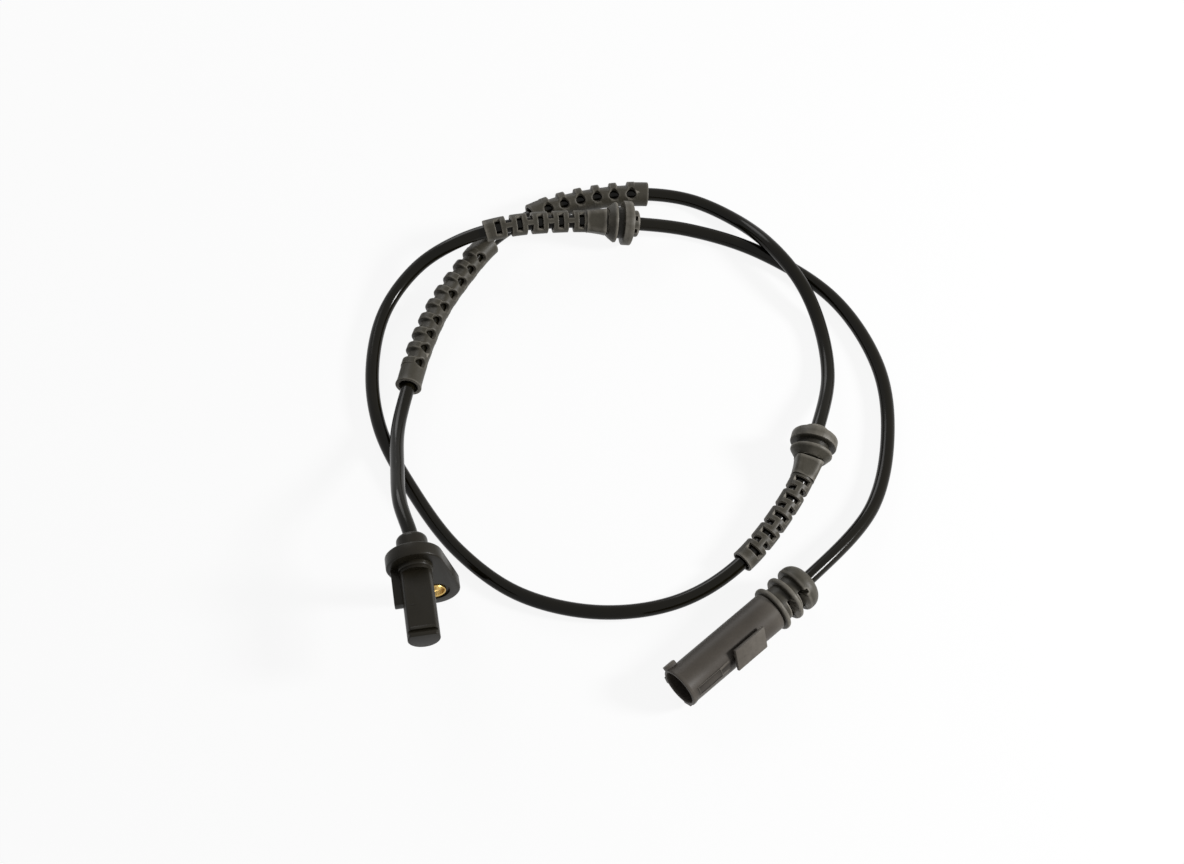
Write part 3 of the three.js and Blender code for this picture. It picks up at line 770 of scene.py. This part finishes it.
class SENSOR_OT_cable(bpy.types.Operator):
    """Round cable jacket, from inside the head round the loops into the plug's boot"""

    bl_idname = "sensor.cable"
    bl_label = "Cable"

    def execute(self, context):
        sizes = context.scene.sensor_lead
        curve = bpy.data.curves.new("lead_cable", "CURVE")
        curve.dimensions = "3D"
        curve.resolution_u = 16
        curve.bevel_depth = sizes.cable_diameter / 2
        curve.bevel_resolution = 7
        curve.use_fill_caps = True
        spline = curve.splines.new("BEZIER")
        spline.bezier_points.add(len(LEAD_POINTS) - 1)
        for point, place in zip(spline.bezier_points, LEAD_POINTS):
            point.co = point.handle_left = point.handle_right = place
        for (start, leave, end, arrive), first, second in zip(
            lead_path.spans, spline.bezier_points, spline.bezier_points[1:]
        ):
            first.handle_right = start + leave / 3
            second.handle_left = end - arrive / 3
        spline.bezier_points[0].handle_left = LEAD_POINTS[0] - lead_path.spans[0][1] / 3
        spline.bezier_points[-1].handle_right = LEAD_POINTS[-1] + lead_path.spans[-1][3] / 3
        cable = bpy.data.objects.new("lead_cable", curve)
        context.collection.objects.link(cable)
        curve.materials.append(bpy.data.materials[FINISHES["cable_jacket"]])
        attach(cable, "root")
        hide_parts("cable")
        return {"FINISHED"}


class SENSOR_OT_head(bpy.types.Operator):
    """Moulded sensor head: probe, flange with its ear, locating rib and rear boss"""

    bl_idname = "sensor.head"
    bl_label = "Sensor Head"

    # Two corners each of the locating rib and of the pocket for the carrier
    rib_corners = (-0.0082, -0.0128, -0.003), (-0.0048, 0.0024, 0.0004)
    pocket_corners = (-0.0031, -0.0237, -0.0032), (0.0031, 0.0037, 0.0022)
    collar_radius, collar_front = 0.0059, -0.0016
    # How deep the probe and its collar, and the boss from behind, reach into the flange
    probe_root, boss_root = 0.002, 0.0024
    cable_bore_front, cable_bore_back = 0.0034, 0.014

    def execute(self, context):
        sizes = context.scene.sensor_head
        head = self.flange(sizes)
        combine(head, self.probe(sizes))
        collar = rod(self.collar_radius, self.collar_front, self.probe_root)
        round_edges(collar, 0.0005)
        combine(head, collar)
        combine(head, block(*self.rib_corners, 0.0003))
        combine(head, self.boss(sizes))
        combine(head, block(*self.pocket_corners), "DIFFERENCE")
        bore = context.scene.sensor_lead.bore / 2
        combine(head, rod(bore, self.cable_bore_front, self.cable_bore_back, 48), "DIFFERENCE")
        move_into(head, Matrix.Translation(HEAD_PLACE))
        hand_over(head, "head_moulding", "head_plastic", "sensor_housing")
        return {"FINISHED"}

    def probe(self, sizes):
        radius = sizes.probe_diameter / 2
        tip, top = -sizes.probe_length, sizes.flat_height
        flat_end = -0.0025
        overlap = 0.0001
        probe = rod(radius, tip, flat_end + overlap)
        edit_all(probe)
        bpy.ops.mesh.bisect(
            plane_co=(0, 0, top), plane_no=(0, 0, 1), use_fill=True, clear_outer=True
        )
        leave_edit()
        round_edges(probe, 0.00055, segments=4)
        combine(probe, rod(radius, flat_end - overlap, self.probe_root))
        slot_front, slot_back = tip + 0.0013, tip + 0.0023
        lip_side, lip_height = 0.0039, 0.0004
        lip = block(
            (-lip_side, slot_back - 0.0003, top - lip_height),
            (lip_side, slot_back + 0.0011, top + lip_height),
            0.00015,
        )
        combine(probe, lip)
        slot_depth = 0.0009
        slot = block((-0.007, slot_front, top - slot_depth), (0.007, slot_back, top + 0.002))
        combine(probe, slot, "DIFFERENCE")
        tick = block((-0.0028, -0.0152, top - 0.0003), (-0.0012, -0.0149, top + 0.0001), 0.00008)
        combine(probe, tick)
        return probe

    def flange(self, sizes):
        """Flange and ear: the hull of two round plates, with the bush's hole and a recess round it."""
        thickness = sizes.flange_thickness
        x, z = EAR_CENTRE.x, EAR_CENTRE.z
        plate = rod(sizes.flange_diameter / 2, 0, thickness, 128)
        ear = rod(sizes.ear_radius, 0, thickness, 128, x, z)
        plate.select_set(True)
        ear.select_set(True)
        bpy.context.view_layer.objects.active = plate
        bpy.ops.object.join()
        edit_all(plate)
        bpy.ops.mesh.convex_hull()
        bpy.ops.mesh.select_all(action="SELECT")
        bpy.ops.mesh.dissolve_limited(angle_limit=math.radians(1))
        leave_edit()
        round_edges(plate, 0.0006, segments=3)
        past, clearance = 0.001, 0.00005
        hole = rod(sizes.bush_diameter / 2 + clearance, -past, thickness + past, 96, x, z)
        combine(plate, hole, "DIFFERENCE")
        recess_width, recess_depth = 0.0013, 0.0007
        recess = rod(sizes.bush_diameter / 2 + recess_width, -past, recess_depth, 96, x, z)
        combine(plate, recess, "DIFFERENCE")
        return plate

    def boss(self, sizes):
        radius = sizes.boss_diameter / 2
        boss = rod(radius, self.boss_root, BOSS_END)
        select_faces(boss, lambda middle, normal: normal.y > 0.9)
        bpy.ops.mesh.bevel(offset=0.0019, segments=6, affect="EDGES")
        leave_edit()
        shoulder_step, shoulder_end = 0.0006, 0.0063
        shoulder = rod(radius + shoulder_step, self.boss_root, shoulder_end)
        round_edges(shoulder, 0.0004)
        combine(boss, shoulder)
        return boss


class SENSOR_OT_bush(bpy.types.Operator):
    """Turned brass bush in the ear"""

    bl_idname = "sensor.bush"
    bl_label = "Brass Bush"

    columns = 96
    # The bush stands out of the ear by this much on both sides
    proud = 0.0001
    # The bore's edges are chamfered by this much
    chamfer = 0.0002

    def execute(self, context):
        sizes = context.scene.sensor_head
        outer, bore = sizes.bush_diameter / 2, sizes.bush_bore / 2
        front, back = -self.proud, sizes.flange_thickness + self.proud
        face = bore + 0.00035
        rows = [
            (front, face), (front, outer - 0.0003), (0, outer - 0.0001), (0.0002, outer),
            (back / 2, outer), (back - 0.0003, outer), (back - 0.0001, outer - 0.0001),
            (back, outer - 0.0003), (back, face),
        ]

        def inside(station):
            return widened(bore, self.chamfer, min(station - front, back - station), self.chamfer)

        bush = turned_tube(self.columns, rows, inside)
        move_into(bush, Matrix.Translation(HEAD_PLACE + EAR_CENTRE))
        hand_over(bush, "ear_bush", "brass", "ear_bushing")
        return {"FINISHED"}


class SENSOR_OT_sleeves(bpy.types.Operator):
    """Ribbed rubber sleeves, with a window at each rib on both flanks"""

    bl_idname = "sensor.sleeves"
    bl_label = "Ribbed Sleeves"

    columns = 72
    # Grid steps from the middle of a window to its edge, and to the edge of the field round it
    hole, field = 4, 8
    # The windows' middle columns, and on which side of each the ribs are
    centres = {14: 1, 58: -1}
    # Places of the grid lines from the middle of a window out, in metres along the cable
    lines = (0, 0.00045, 0.00085, 0.00115, 0.00135, 0.0015, 0.0018, 0.0024, 0.0033)
    # The rings round a window: share of the way out to the edge of its field, and how far each is sunk
    rings = ((0, 0.00016), (0.05, 0.00005), (0.13, 0), (0.5, 0))
    end_rounding = 0.0003
    # The bore widens towards the ends by this much, over this length
    mouth_widening, mouth_length = 0.0006, 0.0016
    flare_length = 0.0022

    def execute(self, context):
        self.sleeve(
            context, "long_ribbed_sleeve", "head_ribbed_sleeve",
            start=0.087, windows=9, first=0.0092, last=0.009, rib_angle=-75, flare=0.00035,
        )
        self.sleeve(
            context, "short_ribbed_sleeve", "middle_ribbed_sleeve",
            start=0.178, windows=6, first=0.0066, last=0.0064, rib_angle=-105, flare=0.0001,
        )
        return {"FINISHED"}

    def degrees(self, column):
        return column * 360 / self.columns - 180

    def grid_lines(self, pitch, windows, first, whole):
        """Stations of the grid's lines, and the number of the line where the first window's field starts."""
        rounding = self.end_rounding
        stations = [0, 0.00006, 0.00015, rounding]
        rest = first - pitch / 2 - rounding
        stations += [rounding + rest * k / 6 for k in range(1, 7)]
        base = len(stations) - 1
        for window in range(windows):
            middle = first + window * pitch
            stations += [middle - line for line in reversed(self.lines[1:-1])]
            stations += [middle + line for line in self.lines]
        after = stations[-1]
        rest = whole - after - rounding
        stations += [after + rest * k / 6 for k in range(1, 7)]
        stations += [whole - 0.00015, whole - 0.00006, whole]
        return stations, base

    def sleeve(self, context, name, node, start, windows, first, last, rib_angle, flare):
        """Sleeve with its first window that far from its start, and its last one that far from its end."""
        sizes, lead = context.scene.sensor_sleeve, context.scene.sensor_lead
        pitch = sizes.pitch
        whole = first + (windows - 1) * pitch + last
        stations, base = self.grid_lines(pitch, windows, first, whole)
        hole, field = self.hole, self.field
        body = sizes.body_diameter / 2

        def field_at(i, j):
            """Grid steps from the nearest window's middle, its column and number; None outside its field."""
            if not base <= j <= base + 2 * field * windows:
                return None
            window = min((j - base) // (2 * field), windows - 1)
            for column in self.centres:
                if abs(i - column) <= field:
                    return i - column, j - base - 2 * field * window - field, column, window
            return None

        def is_open(i, j):
            return any(
                -hole <= j - base - field * (2 * window + 1) < hole and -hole <= i - column < hole
                for window in range(windows)
                for column in self.centres
            )

        def radius_at(turn, station):
            away = abs(math.degrees(turn))
            rib_step = (sizes.rib_diameter - sizes.body_diameter) / 2
            top = body + rib_step * (1 - smooth_step(45, 85, away))
            low = sizes.valley_diameter / 2
            valley = low + (body - 0.0001 - low) * smooth_step(40, 98, away)
            if station <= first or station >= whole - last:
                mask = 1
            else:
                off = abs((station - first + pitch / 2) % pitch - pitch / 2)
                mask = 1 - smooth_step(0.0012, 0.0018, off)
            half_rib = sizes.rib_length / 2
            if station < first - half_rib or station > whole - last + half_rib:
                top = body
            radius = valley + (top - valley) * mask
            radius += flare * max(0, 1 - station / self.flare_length) ** 2
            edge, rounding = min(station, whole - station), self.end_rounding
            if edge < rounding:
                radius -= rounding * (1 - math.sqrt(1 - (1 - edge / rounding) ** 2))
            return radius

        def in_field(across, along, column, window):
            """Angle and station of a grid point in a window's field, and how far it is sunk."""
            ring = max(abs(across), abs(along))
            quarter = math.radians(45)
            if abs(across) >= abs(along):
                way = quarter * along / across + (math.pi if across < 0 else 0)
            else:
                way = 2 * quarter - quarter * across / along + (math.pi if along < 0 else 0)
            near = math.cos(way) * self.centres[column]
            span = sizes.window_span / 2 * (1.15 if near > 0 else 0.88)
            hole_turn = span / body * math.cos(way)
            hole_along = sizes.window_length / 2 * math.sin(way) * (1 - 0.22 * max(0, near))
            steps = field * along / ring
            step = min(int(abs(steps)), field - 1)
            reach = self.lines[step] + (self.lines[step + 1] - self.lines[step]) * (abs(steps) - step)
            field_along = math.copysign(reach, steps)
            field_turn = math.radians(40) * across / ring
            share, sunk = self.rings[ring - hole]
            turn = math.radians(self.degrees(column)) + hole_turn + (field_turn - hole_turn) * share
            station = first + window * pitch + hole_along + (field_along - hole_along) * share
            return turn, station, sunk

        def spot(i, j):
            turn, station, sunk = math.radians(self.degrees(i)), stations[j], 0
            found = field_at(i, j)
            if found and hole <= max(abs(found[0]), abs(found[1])) < field:
                turn, station, sunk = in_field(*found)
            return turn + math.radians(rib_angle), station, radius_at(turn, station) - sunk

        def bore(station):
            edge = min(station, whole - station)
            return widened(lead.bore / 2, self.mouth_widening, edge, self.mouth_length)

        sleeve = rolled_tube(self.columns, len(stations) - 1, is_open, spot, bore)
        bend_along_lead(sleeve, start)
        hand_over(sleeve, name, "rubber", node, smooth=50)


class SENSOR_OT_grommets(bpy.types.Operator):
    """Rubber panel grommets: slotted bend relief, flat-sided neck, barbed lip, groove, flange and stub"""

    bl_idname = "sensor.grommets"
    bl_label = "Panel Grommets"

    whole = 0.057975
    # Middle of the first slot, and the number of slots
    first, count = 0.005, 9
    # Degrees from the front or the rear to the sides of the slots there
    slot_edge = 47.0
    # Lengths of the neck, of the lip's cone and edge, of the groove and of the flange
    neck_length, cone_length, land_length = 0.0078, 0.0024, 0.001
    groove_length, flange_length = 0.0024, 0.0032
    # The slots' walls are rounded off over this width, by this depth
    rim_width, rim_depth = 0.00015, 0.00014

    def execute(self, context):
        self.grommet(context, "middle_panel_grommet", "middle_grommet", 0.3695 + self.whole, True)
        self.grommet(context, "plug_panel_grommet", "plug_grommet", 0.696, False)
        return {"FINISHED"}

    def rows(self, sizes):
        """Station, radius and squareness of each ring of points, and the station of the flange's back."""
        lattice, neck = sizes.lattice_diameter / 2, sizes.neck_diameter / 2
        lip, groove = sizes.lip_diameter / 2, sizes.groove_diameter / 2
        flange, stub = sizes.flange_diameter / 2, sizes.stub_diameter / 2
        pitch, half = sizes.pitch, sizes.slot_length / 2
        lattice_end = self.first + (self.count - 0.5) * pitch
        neck_end = lattice_end + self.neck_length
        cone = neck_end + self.cone_length
        land = cone + self.land_length
        rear = land + self.groove_length
        back = rear + self.flange_length
        rows = [(0, lattice - 0.0003, 0), (0.00006, lattice - 0.00012, 0), (0.0002, lattice, 0)]
        plain = self.first - 0.5 * pitch - 0.0002
        rows += [(0.0002 + plain * k / 3, lattice, 0) for k in (1, 2)]
        steps = [-pitch / 2, -half - 0.00035, -half - 0.00015, -half - 0.00006, -half, -half / 2]
        steps += [0] + [-step for step in reversed(steps[1:])]
        rows += [
            (self.first + slot * pitch + step, lattice, 0) for slot in range(self.count) for step in steps
        ]
        rows += [(lattice_end, lattice, 0), (lattice_end + 0.0001, lattice + 0.0001, 0.3)]
        for share in (k / 10 for k in range(1, 11)):
            width = lattice + (neck - lattice) * (0.55 * share + 0.45 * share**3)
            rows.append((lattice_end + 0.0001 + 0.0071 * share, width, min(1, 0.3 + 1.4 * share)))
        rows += [
            (neck_end - 0.00055, neck - 0.0007, 1), (neck_end - 0.00015, neck - 0.0007, 1),
            (neck_end - 0.0001, neck + 0.0002, 0.8), (neck_end + 0.0001, neck + 0.0007, 0),
            (neck_end + 0.0009, neck + 0.0014, 0), (cone - 0.0003, lip - 0.00035, 0),
            (cone, lip - 0.0001, 0), (cone + 0.00025, lip, 0), (land - 0.00025, lip, 0),
            (land - 0.00006, lip - 0.0001, 0), (land, lip - 0.00025, 0), (land, groove + 0.0002, 0),
            (land + 0.0001, groove, 0), (rear - 0.0001, groove, 0), (rear, groove + 0.0002, 0),
            (rear, flange - 0.0003, 0), (rear + 0.00009, flange - 0.00009, 0),
            (rear + 0.0003, flange, 0), (rear + 0.0016, flange, 0), (back - 0.0003, flange, 0),
            (back - 0.00009, flange - 0.00009, 0), (back, flange - 0.0003, 0), (back, stub, 0),
            (back + 0.0005, stub, 0), (back + 0.0008, stub, 0), (back + 0.0018, stub, 0),
            (back + 0.0023, stub, 0), (back + 0.0025, stub - 0.0001, 0), (back + 0.0026, stub - 0.0003, 0),
        ]
        return rows, back

    def angles(self, bar_edge):
        """Degrees of the grid's lines round the grommet, with some close to the slots' sides."""
        edges = [self.slot_edge + step for step in (0, 0.9, 2.1)]
        edges += [bar_edge - step for step in (0, 0.9, 2.1)]
        marks = {round(side + sign * edge, 3) for side in (0, 180) for sign in (-1, 1) for edge in edges}
        marks = {mark - 360 if mark > 180 else mark for mark in marks}
        even = (k * 7.5 for k in range(-24, 25))
        clear = {angle for angle in even if all(abs(angle - mark) > 2.4 for mark in marks)}
        return sorted(marks | clear | {-180.0, 180.0})

    def grommet(self, context, name, node, start, backwards):
        sizes, lead = context.scene.sensor_grommet, context.scene.sensor_lead
        lattice, half = sizes.lattice_diameter / 2, sizes.slot_length / 2
        bar_edge = math.degrees(math.asin(sizes.bar_width / 2 / lattice))
        rows, back = self.rows(sizes)
        angles = self.angles(bar_edge)

        def slot_of(station):
            """The slot's number and the distance of the station from its middle."""
            number = round((station - self.first) / sizes.pitch)
            if not 0 <= number < self.count:
                return None, 1
            return number, abs(station - self.first - number * sizes.pitch)

        def outside(number, angle):
            """Degrees from the angle to the slot's side, negative in the slot."""
            front = min(abs(angle), 180 - abs(angle))
            return bar_edge - front if number % 2 else front - self.slot_edge

        def is_open(i, j):
            angle = (angles[i] + angles[i + 1]) / 2
            station = (rows[j][0] + rows[j + 1][0]) / 2
            number, off = slot_of(station)
            if number is not None:
                return off < half and outside(number, angle) < 0
            return back + 0.0008 < station < back + 0.0018 and (angle + 30) % 60 < 22

        def spot(i, j):
            angle = angles[i]
            station, radius, square = rows[j]
            number, off = slot_of(station)
            if number is not None and radius == lattice:
                aside = math.radians(outside(number, angle)) * lattice
                gap = max(aside, off - half)
                if gap < self.rim_width:
                    radius -= self.rim_depth * (1 - max(gap, 0) / self.rim_width) ** 2
            if square:
                power = 2 + 3.2 * square
                turn = math.radians(angle)
                radius *= (abs(math.cos(turn)) ** power + abs(math.sin(turn)) ** power) ** (-1 / power)
            return math.radians(angle), station, radius

        def bore(station):
            return widened(lead.bore / 2, 0.0004, station, 0.0012)

        grommet = rolled_tube(len(angles) - 1, len(rows) - 1, is_open, spot, bore)
        bend_along_lead(grommet, start, backwards)
        hand_over(grommet, name, "rubber", node)


class SENSOR_OT_boot(bpy.types.Operator):
    """Rubber boot behind the plug: domed end, two more discs and the windows in its grooves"""

    bl_idname = "sensor.boot"
    bl_label = "Plug Boot"

    columns = 96
    nose_radius = 0.0037
    dome_length = 0.0042
    # Start and end of each groove between the discs
    grooves = ((0.006, 0.0091), (0.0109, 0.015))
    window_length = 0.0019
    # The rear part that the housing holds
    root_radius, root_end = 0.005, 0.022

    def execute(self, context):
        sizes = context.scene.sensor_plug
        lead = context.scene.sensor_lead
        disc, hub, nose = sizes.disc_diameter / 2, sizes.hub_diameter / 2, self.nose_radius
        rows = [(0.0, nose - 0.0003), (0.0, nose)]
        for turn in (math.radians(90 * k / 12) for k in range(1, 13)):
            rows.append((self.dome_length * (1 - math.cos(turn)), nose + (disc - nose) * math.sin(turn)))
        rows += [(0.0048, disc), (0.0053, disc), (0.00575, disc - 0.00015), (0.006, disc - 0.0005)]
        for start, end in self.grooves:
            rows += [
                (start, hub), (start + self.window_length, hub), (start + 0.0024, hub), (end, hub),
                (end, disc - 0.0005), (end + 0.00025, disc - 0.00015), (end + 0.0006, disc),
                (end + 0.0012, disc), (end + 0.00155, disc - 0.00015), (end + 0.0018, disc - 0.0005),
            ]
        rows += [(0.0168, self.root_radius), (0.0175, self.root_radius), (self.root_end, self.root_radius)]

        def is_open(i, j):
            angle = (i + 0.5) * 360 / self.columns - 180
            station = (rows[j][0] + rows[j + 1][0]) / 2
            radius = (rows[j][1] + rows[j + 1][1]) / 2
            in_window = any(start < station < start + self.window_length for start, _ in self.grooves)
            if radius <= hub and in_window and min(abs(angle + 50), abs(angle - 130)) < 45:
                return True
            return 0.0048 <= station < 0.0061 and radius > hub and -18 < angle < -7

        def bore(station):
            return widened(lead.bore / 2, 0.0004, station, 0.001)

        boot = turned_tube(self.columns, rows, bore, is_open, seam=-180)
        move_into(boot, frame_of(PLUG_PLACE, PLUG_WAY))
        hand_over(boot, "plug_rear_boot", "rubber", "plug_boot", smooth=50)
        return {"FINISHED"}


class SENSOR_OT_plug(bpy.types.Operator):
    """Round plug housing with its rail, keys and guide, and the two contact pins"""

    bl_idname = "sensor.plug"
    bl_label = "Plug"

    columns = 96
    # Sideways place of each pin
    pin_sides = {"1": -0.002, "2": 0.002}
    pin_start, pin_depth = 0.0293, 0.0093
    # Depths of the mouth's floor and of the back of its web
    floor_depth, web_depth = 0.0207, 0.0229
    # Radius of the bore behind the web, and of the web's own disc, which reaches into the wall
    rear_bore, wall_radius = 0.0054, 0.0058
    # Keys and guide round the mouth: angle, width, height over the rim and length
    key_blocks = (
        (-88, 0.0026, 0.0013, 0.0042), (-148, 0.0026, 0.0007, 0.0042), (122, 0.0036, 0.00045, 0.012),
    )
    # The raised frame: its lines along the plug and across it, and where it starts and ends
    frame_sides, frame_bars = (26, 53.5), (29.5, 36.3, 43.1, 49.9)
    frame_start, frame_end, frame_line = 0.0455, 0.0556, 0.00025

    def execute(self, context):
        sizes = context.scene.sensor_plug
        place = frame_of(PLUG_PLACE, PLUG_WAY)
        radius, rim, end = sizes.body_diameter / 2, sizes.rim_diameter / 2, sizes.whole_length
        inner = radius - 0.0005
        shell = self.shell(sizes)
        combine(shell, self.rail(radius, inner))
        for angle, width, height, key_length in self.key_blocks:
            combine(shell, plug_block(angle, width, inner, rim + height, end - key_length, end))
        self.marking_frame(shell, radius)
        move_into(shell, place)
        hand_over(shell, "plug_shell", "plug_plastic", "plug_housing")
        for number, side in self.pin_sides.items():
            pin = rod(sizes.pin_diameter / 2, self.pin_start, end - self.pin_depth, 32, 0, side)
            round_edges(pin, 0.0004, segments=4)
            move_into(pin, place)
            hand_over(pin, f"round_pin_{number}", "tinned_copper", f"contact_pin_{number}")
        return {"FINISHED"}

    def shell(self, sizes):
        radius, rim, end = sizes.body_diameter / 2, sizes.rim_diameter / 2, sizes.whole_length
        start, floor, web = 0.0171, end - self.floor_depth, end - self.web_depth
        rows = [(start, radius - 0.0002), (start + 0.0002, radius)]
        rows += [(start + 0.0002 + (web - start - 0.0002) * k / 4, radius) for k in (1, 2, 3, 4)]
        rows += [
            (floor, radius), (floor + 0.0001, radius), (0.048, radius), (end - 0.0022, radius),
            (end - 0.0012, rim), (end - 0.0003, rim), (end - 0.0001, rim - 0.0001), (end, rim - 0.0003),
        ]

        def bore(station):
            if station <= floor + WELD:
                return self.rear_bore
            return widened(sizes.mouth_diameter / 2, 0.0002, end - station, 0.0003)

        shell = turned_tube(self.columns, rows, bore)
        wall = rod(self.wall_radius, web, floor, 96)
        for side in self.pin_sides.values():
            hole = rod(sizes.pin_diameter / 2 + 0.0002, web - 0.001, floor + 0.001, 32, 0, side)
            combine(wall, hole, "DIFFERENCE")
        combine(shell, wall)
        return shell

    def rail(self, radius, inner):
        """Mounting rail: a plate with slanted ends on a narrower foot."""
        rail = plug_block(RAIL_ANGLE, 0.0073, radius + 0.0008, radius + 0.0021, 0.0245, 0.0425, 0)
        turn = Matrix.Rotation(-math.radians(RAIL_ANGLE), 3, "Y")
        across = turn @ Vector((0, math.cos(RAIL_SLANT), -math.sin(RAIL_SLANT)))
        for station, way in ((0.0267, -1), (0.0398, 1)):
            edit_all(rail)
            bpy.ops.mesh.bisect(
                plane_co=(0, station, 0), plane_no=way * across, use_fill=True, clear_outer=True
            )
            leave_edit()
        round_edges(rail, 0.00025, segments=2)
        combine(rail, plug_block(RAIL_ANGLE, 0.003, inner, radius + 0.0012, 0.0272, 0.0393))
        return rail

    def marking_frame(self, shell, radius):
        """Plain raised frame near the mouth."""
        top, foot, line = radius + 0.00012, radius - 0.0006, self.frame_line
        for angle in self.frame_sides:
            combine(shell, plug_block(angle, line, foot, top, self.frame_start, self.frame_end, 0))
        for start in (self.frame_start, self.frame_end - line):
            for angle in self.frame_bars:
                combine(shell, plug_block(angle, 0.0011, foot, top, start, start + line, 0))


class SENSOR_OT_inner_pieces(bpy.types.Operator):
    """Finishes of the pieces inside the head and the plug"""

    bl_idname = "sensor.inner_pieces"
    bl_label = "Inner Pieces"

    finishes = {
        "element_carrier": "Inner Plastic",
        "sensing_element": "Element Package",
        "terminal_holder": "Inner Plastic",
    }

    def execute(self, context):
        finishes = dict(self.finishes)
        for number in ("1", "2"):
            for node in ("lead_strip_", "head_crimp_", "plug_crimp_"):
                finishes[node + number] = "Tinned Copper"
            for node in ("head_core_", "plug_core_"):
                finishes[node + number] = "Blue Insulation" if number == "1" else "Brown Insulation"
        for node, finish in finishes.items():
            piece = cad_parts[node]
            for slot in piece.material_slots:
                slot.material = bpy.data.materials[finish]
        return {"FINISHED"}


class SENSOR_OT_declare_lead(bpy.types.Operator):
    bl_idname = "sensor.declare_lead"
    bl_label = "Declare Lead"

    def execute(self, context):
        return {"FINISHED"}


class SENSOR_PT_panel(bpy.types.Panel):
    bl_label = "Wheel Speed Sensor"
    bl_idname = "SENSOR_PT_panel"
    bl_space_type = "VIEW_3D"
    bl_region_type = "UI"
    bl_category = "Wheel Sensor"

    def draw(self, context):
        scene = context.scene
        for name in GROUPS:
            column = self.layout.column(align=True)
            settings = getattr(scene, name)
            for prop in settings.bl_rna.properties:
                if prop.identifier not in {"rna_type", "name"}:
                    column.prop(settings, prop.identifier)
        for operator in OPERATORS:
            self.layout.operator(operator.bl_idname)


GROUPS = {
    "sensor_stage": StageSettings,
    "sensor_head": SensorHeadSizes,
    "sensor_lead": LeadSizes,
    "sensor_sleeve": SleeveSizes,
    "sensor_grommet": GrommetSizes,
    "sensor_plug": PlugSizes,
    "sensor_colours": SensorColours,
}
OPERATORS = (
    SENSOR_OT_stage,
    SENSOR_OT_cable,
    SENSOR_OT_head,
    SENSOR_OT_bush,
    SENSOR_OT_sleeves,
    SENSOR_OT_grommets,
    SENSOR_OT_boot,
    SENSOR_OT_plug,
    SENSOR_OT_inner_pieces,
    SENSOR_OT_declare_lead,
)


def register():
    for group in GROUPS.values():
        bpy.utils.register_class(group)
    for operator in OPERATORS:
        bpy.utils.register_class(operator)
    bpy.utils.register_class(SENSOR_PT_panel)
    for name, group in GROUPS.items():
        setattr(bpy.types.Scene, name, bpy.props.PointerProperty(type=group))


def unregister():
    for name in GROUPS:
        delattr(bpy.types.Scene, name)
    bpy.utils.unregister_class(SENSOR_PT_panel)
    for operator in reversed(OPERATORS):
        bpy.utils.unregister_class(operator)
    for group in reversed(GROUPS.values()):
        bpy.utils.unregister_class(group)


def main():
    register()
    make_materials(bpy.context.scene.sensor_colours)
    bpy.ops.sensor.stage()
    bpy.ops.sensor.cable()
    bpy.ops.sensor.head()
    bpy.ops.sensor.bush()
    bpy.ops.sensor.sleeves()
    bpy.ops.sensor.grommets()
    bpy.ops.sensor.boot()
    bpy.ops.sensor.plug()
    bpy.ops.sensor.inner_pieces()
    bpy.ops.sensor.declare_lead()


if __name__ == "__main__":
    main()
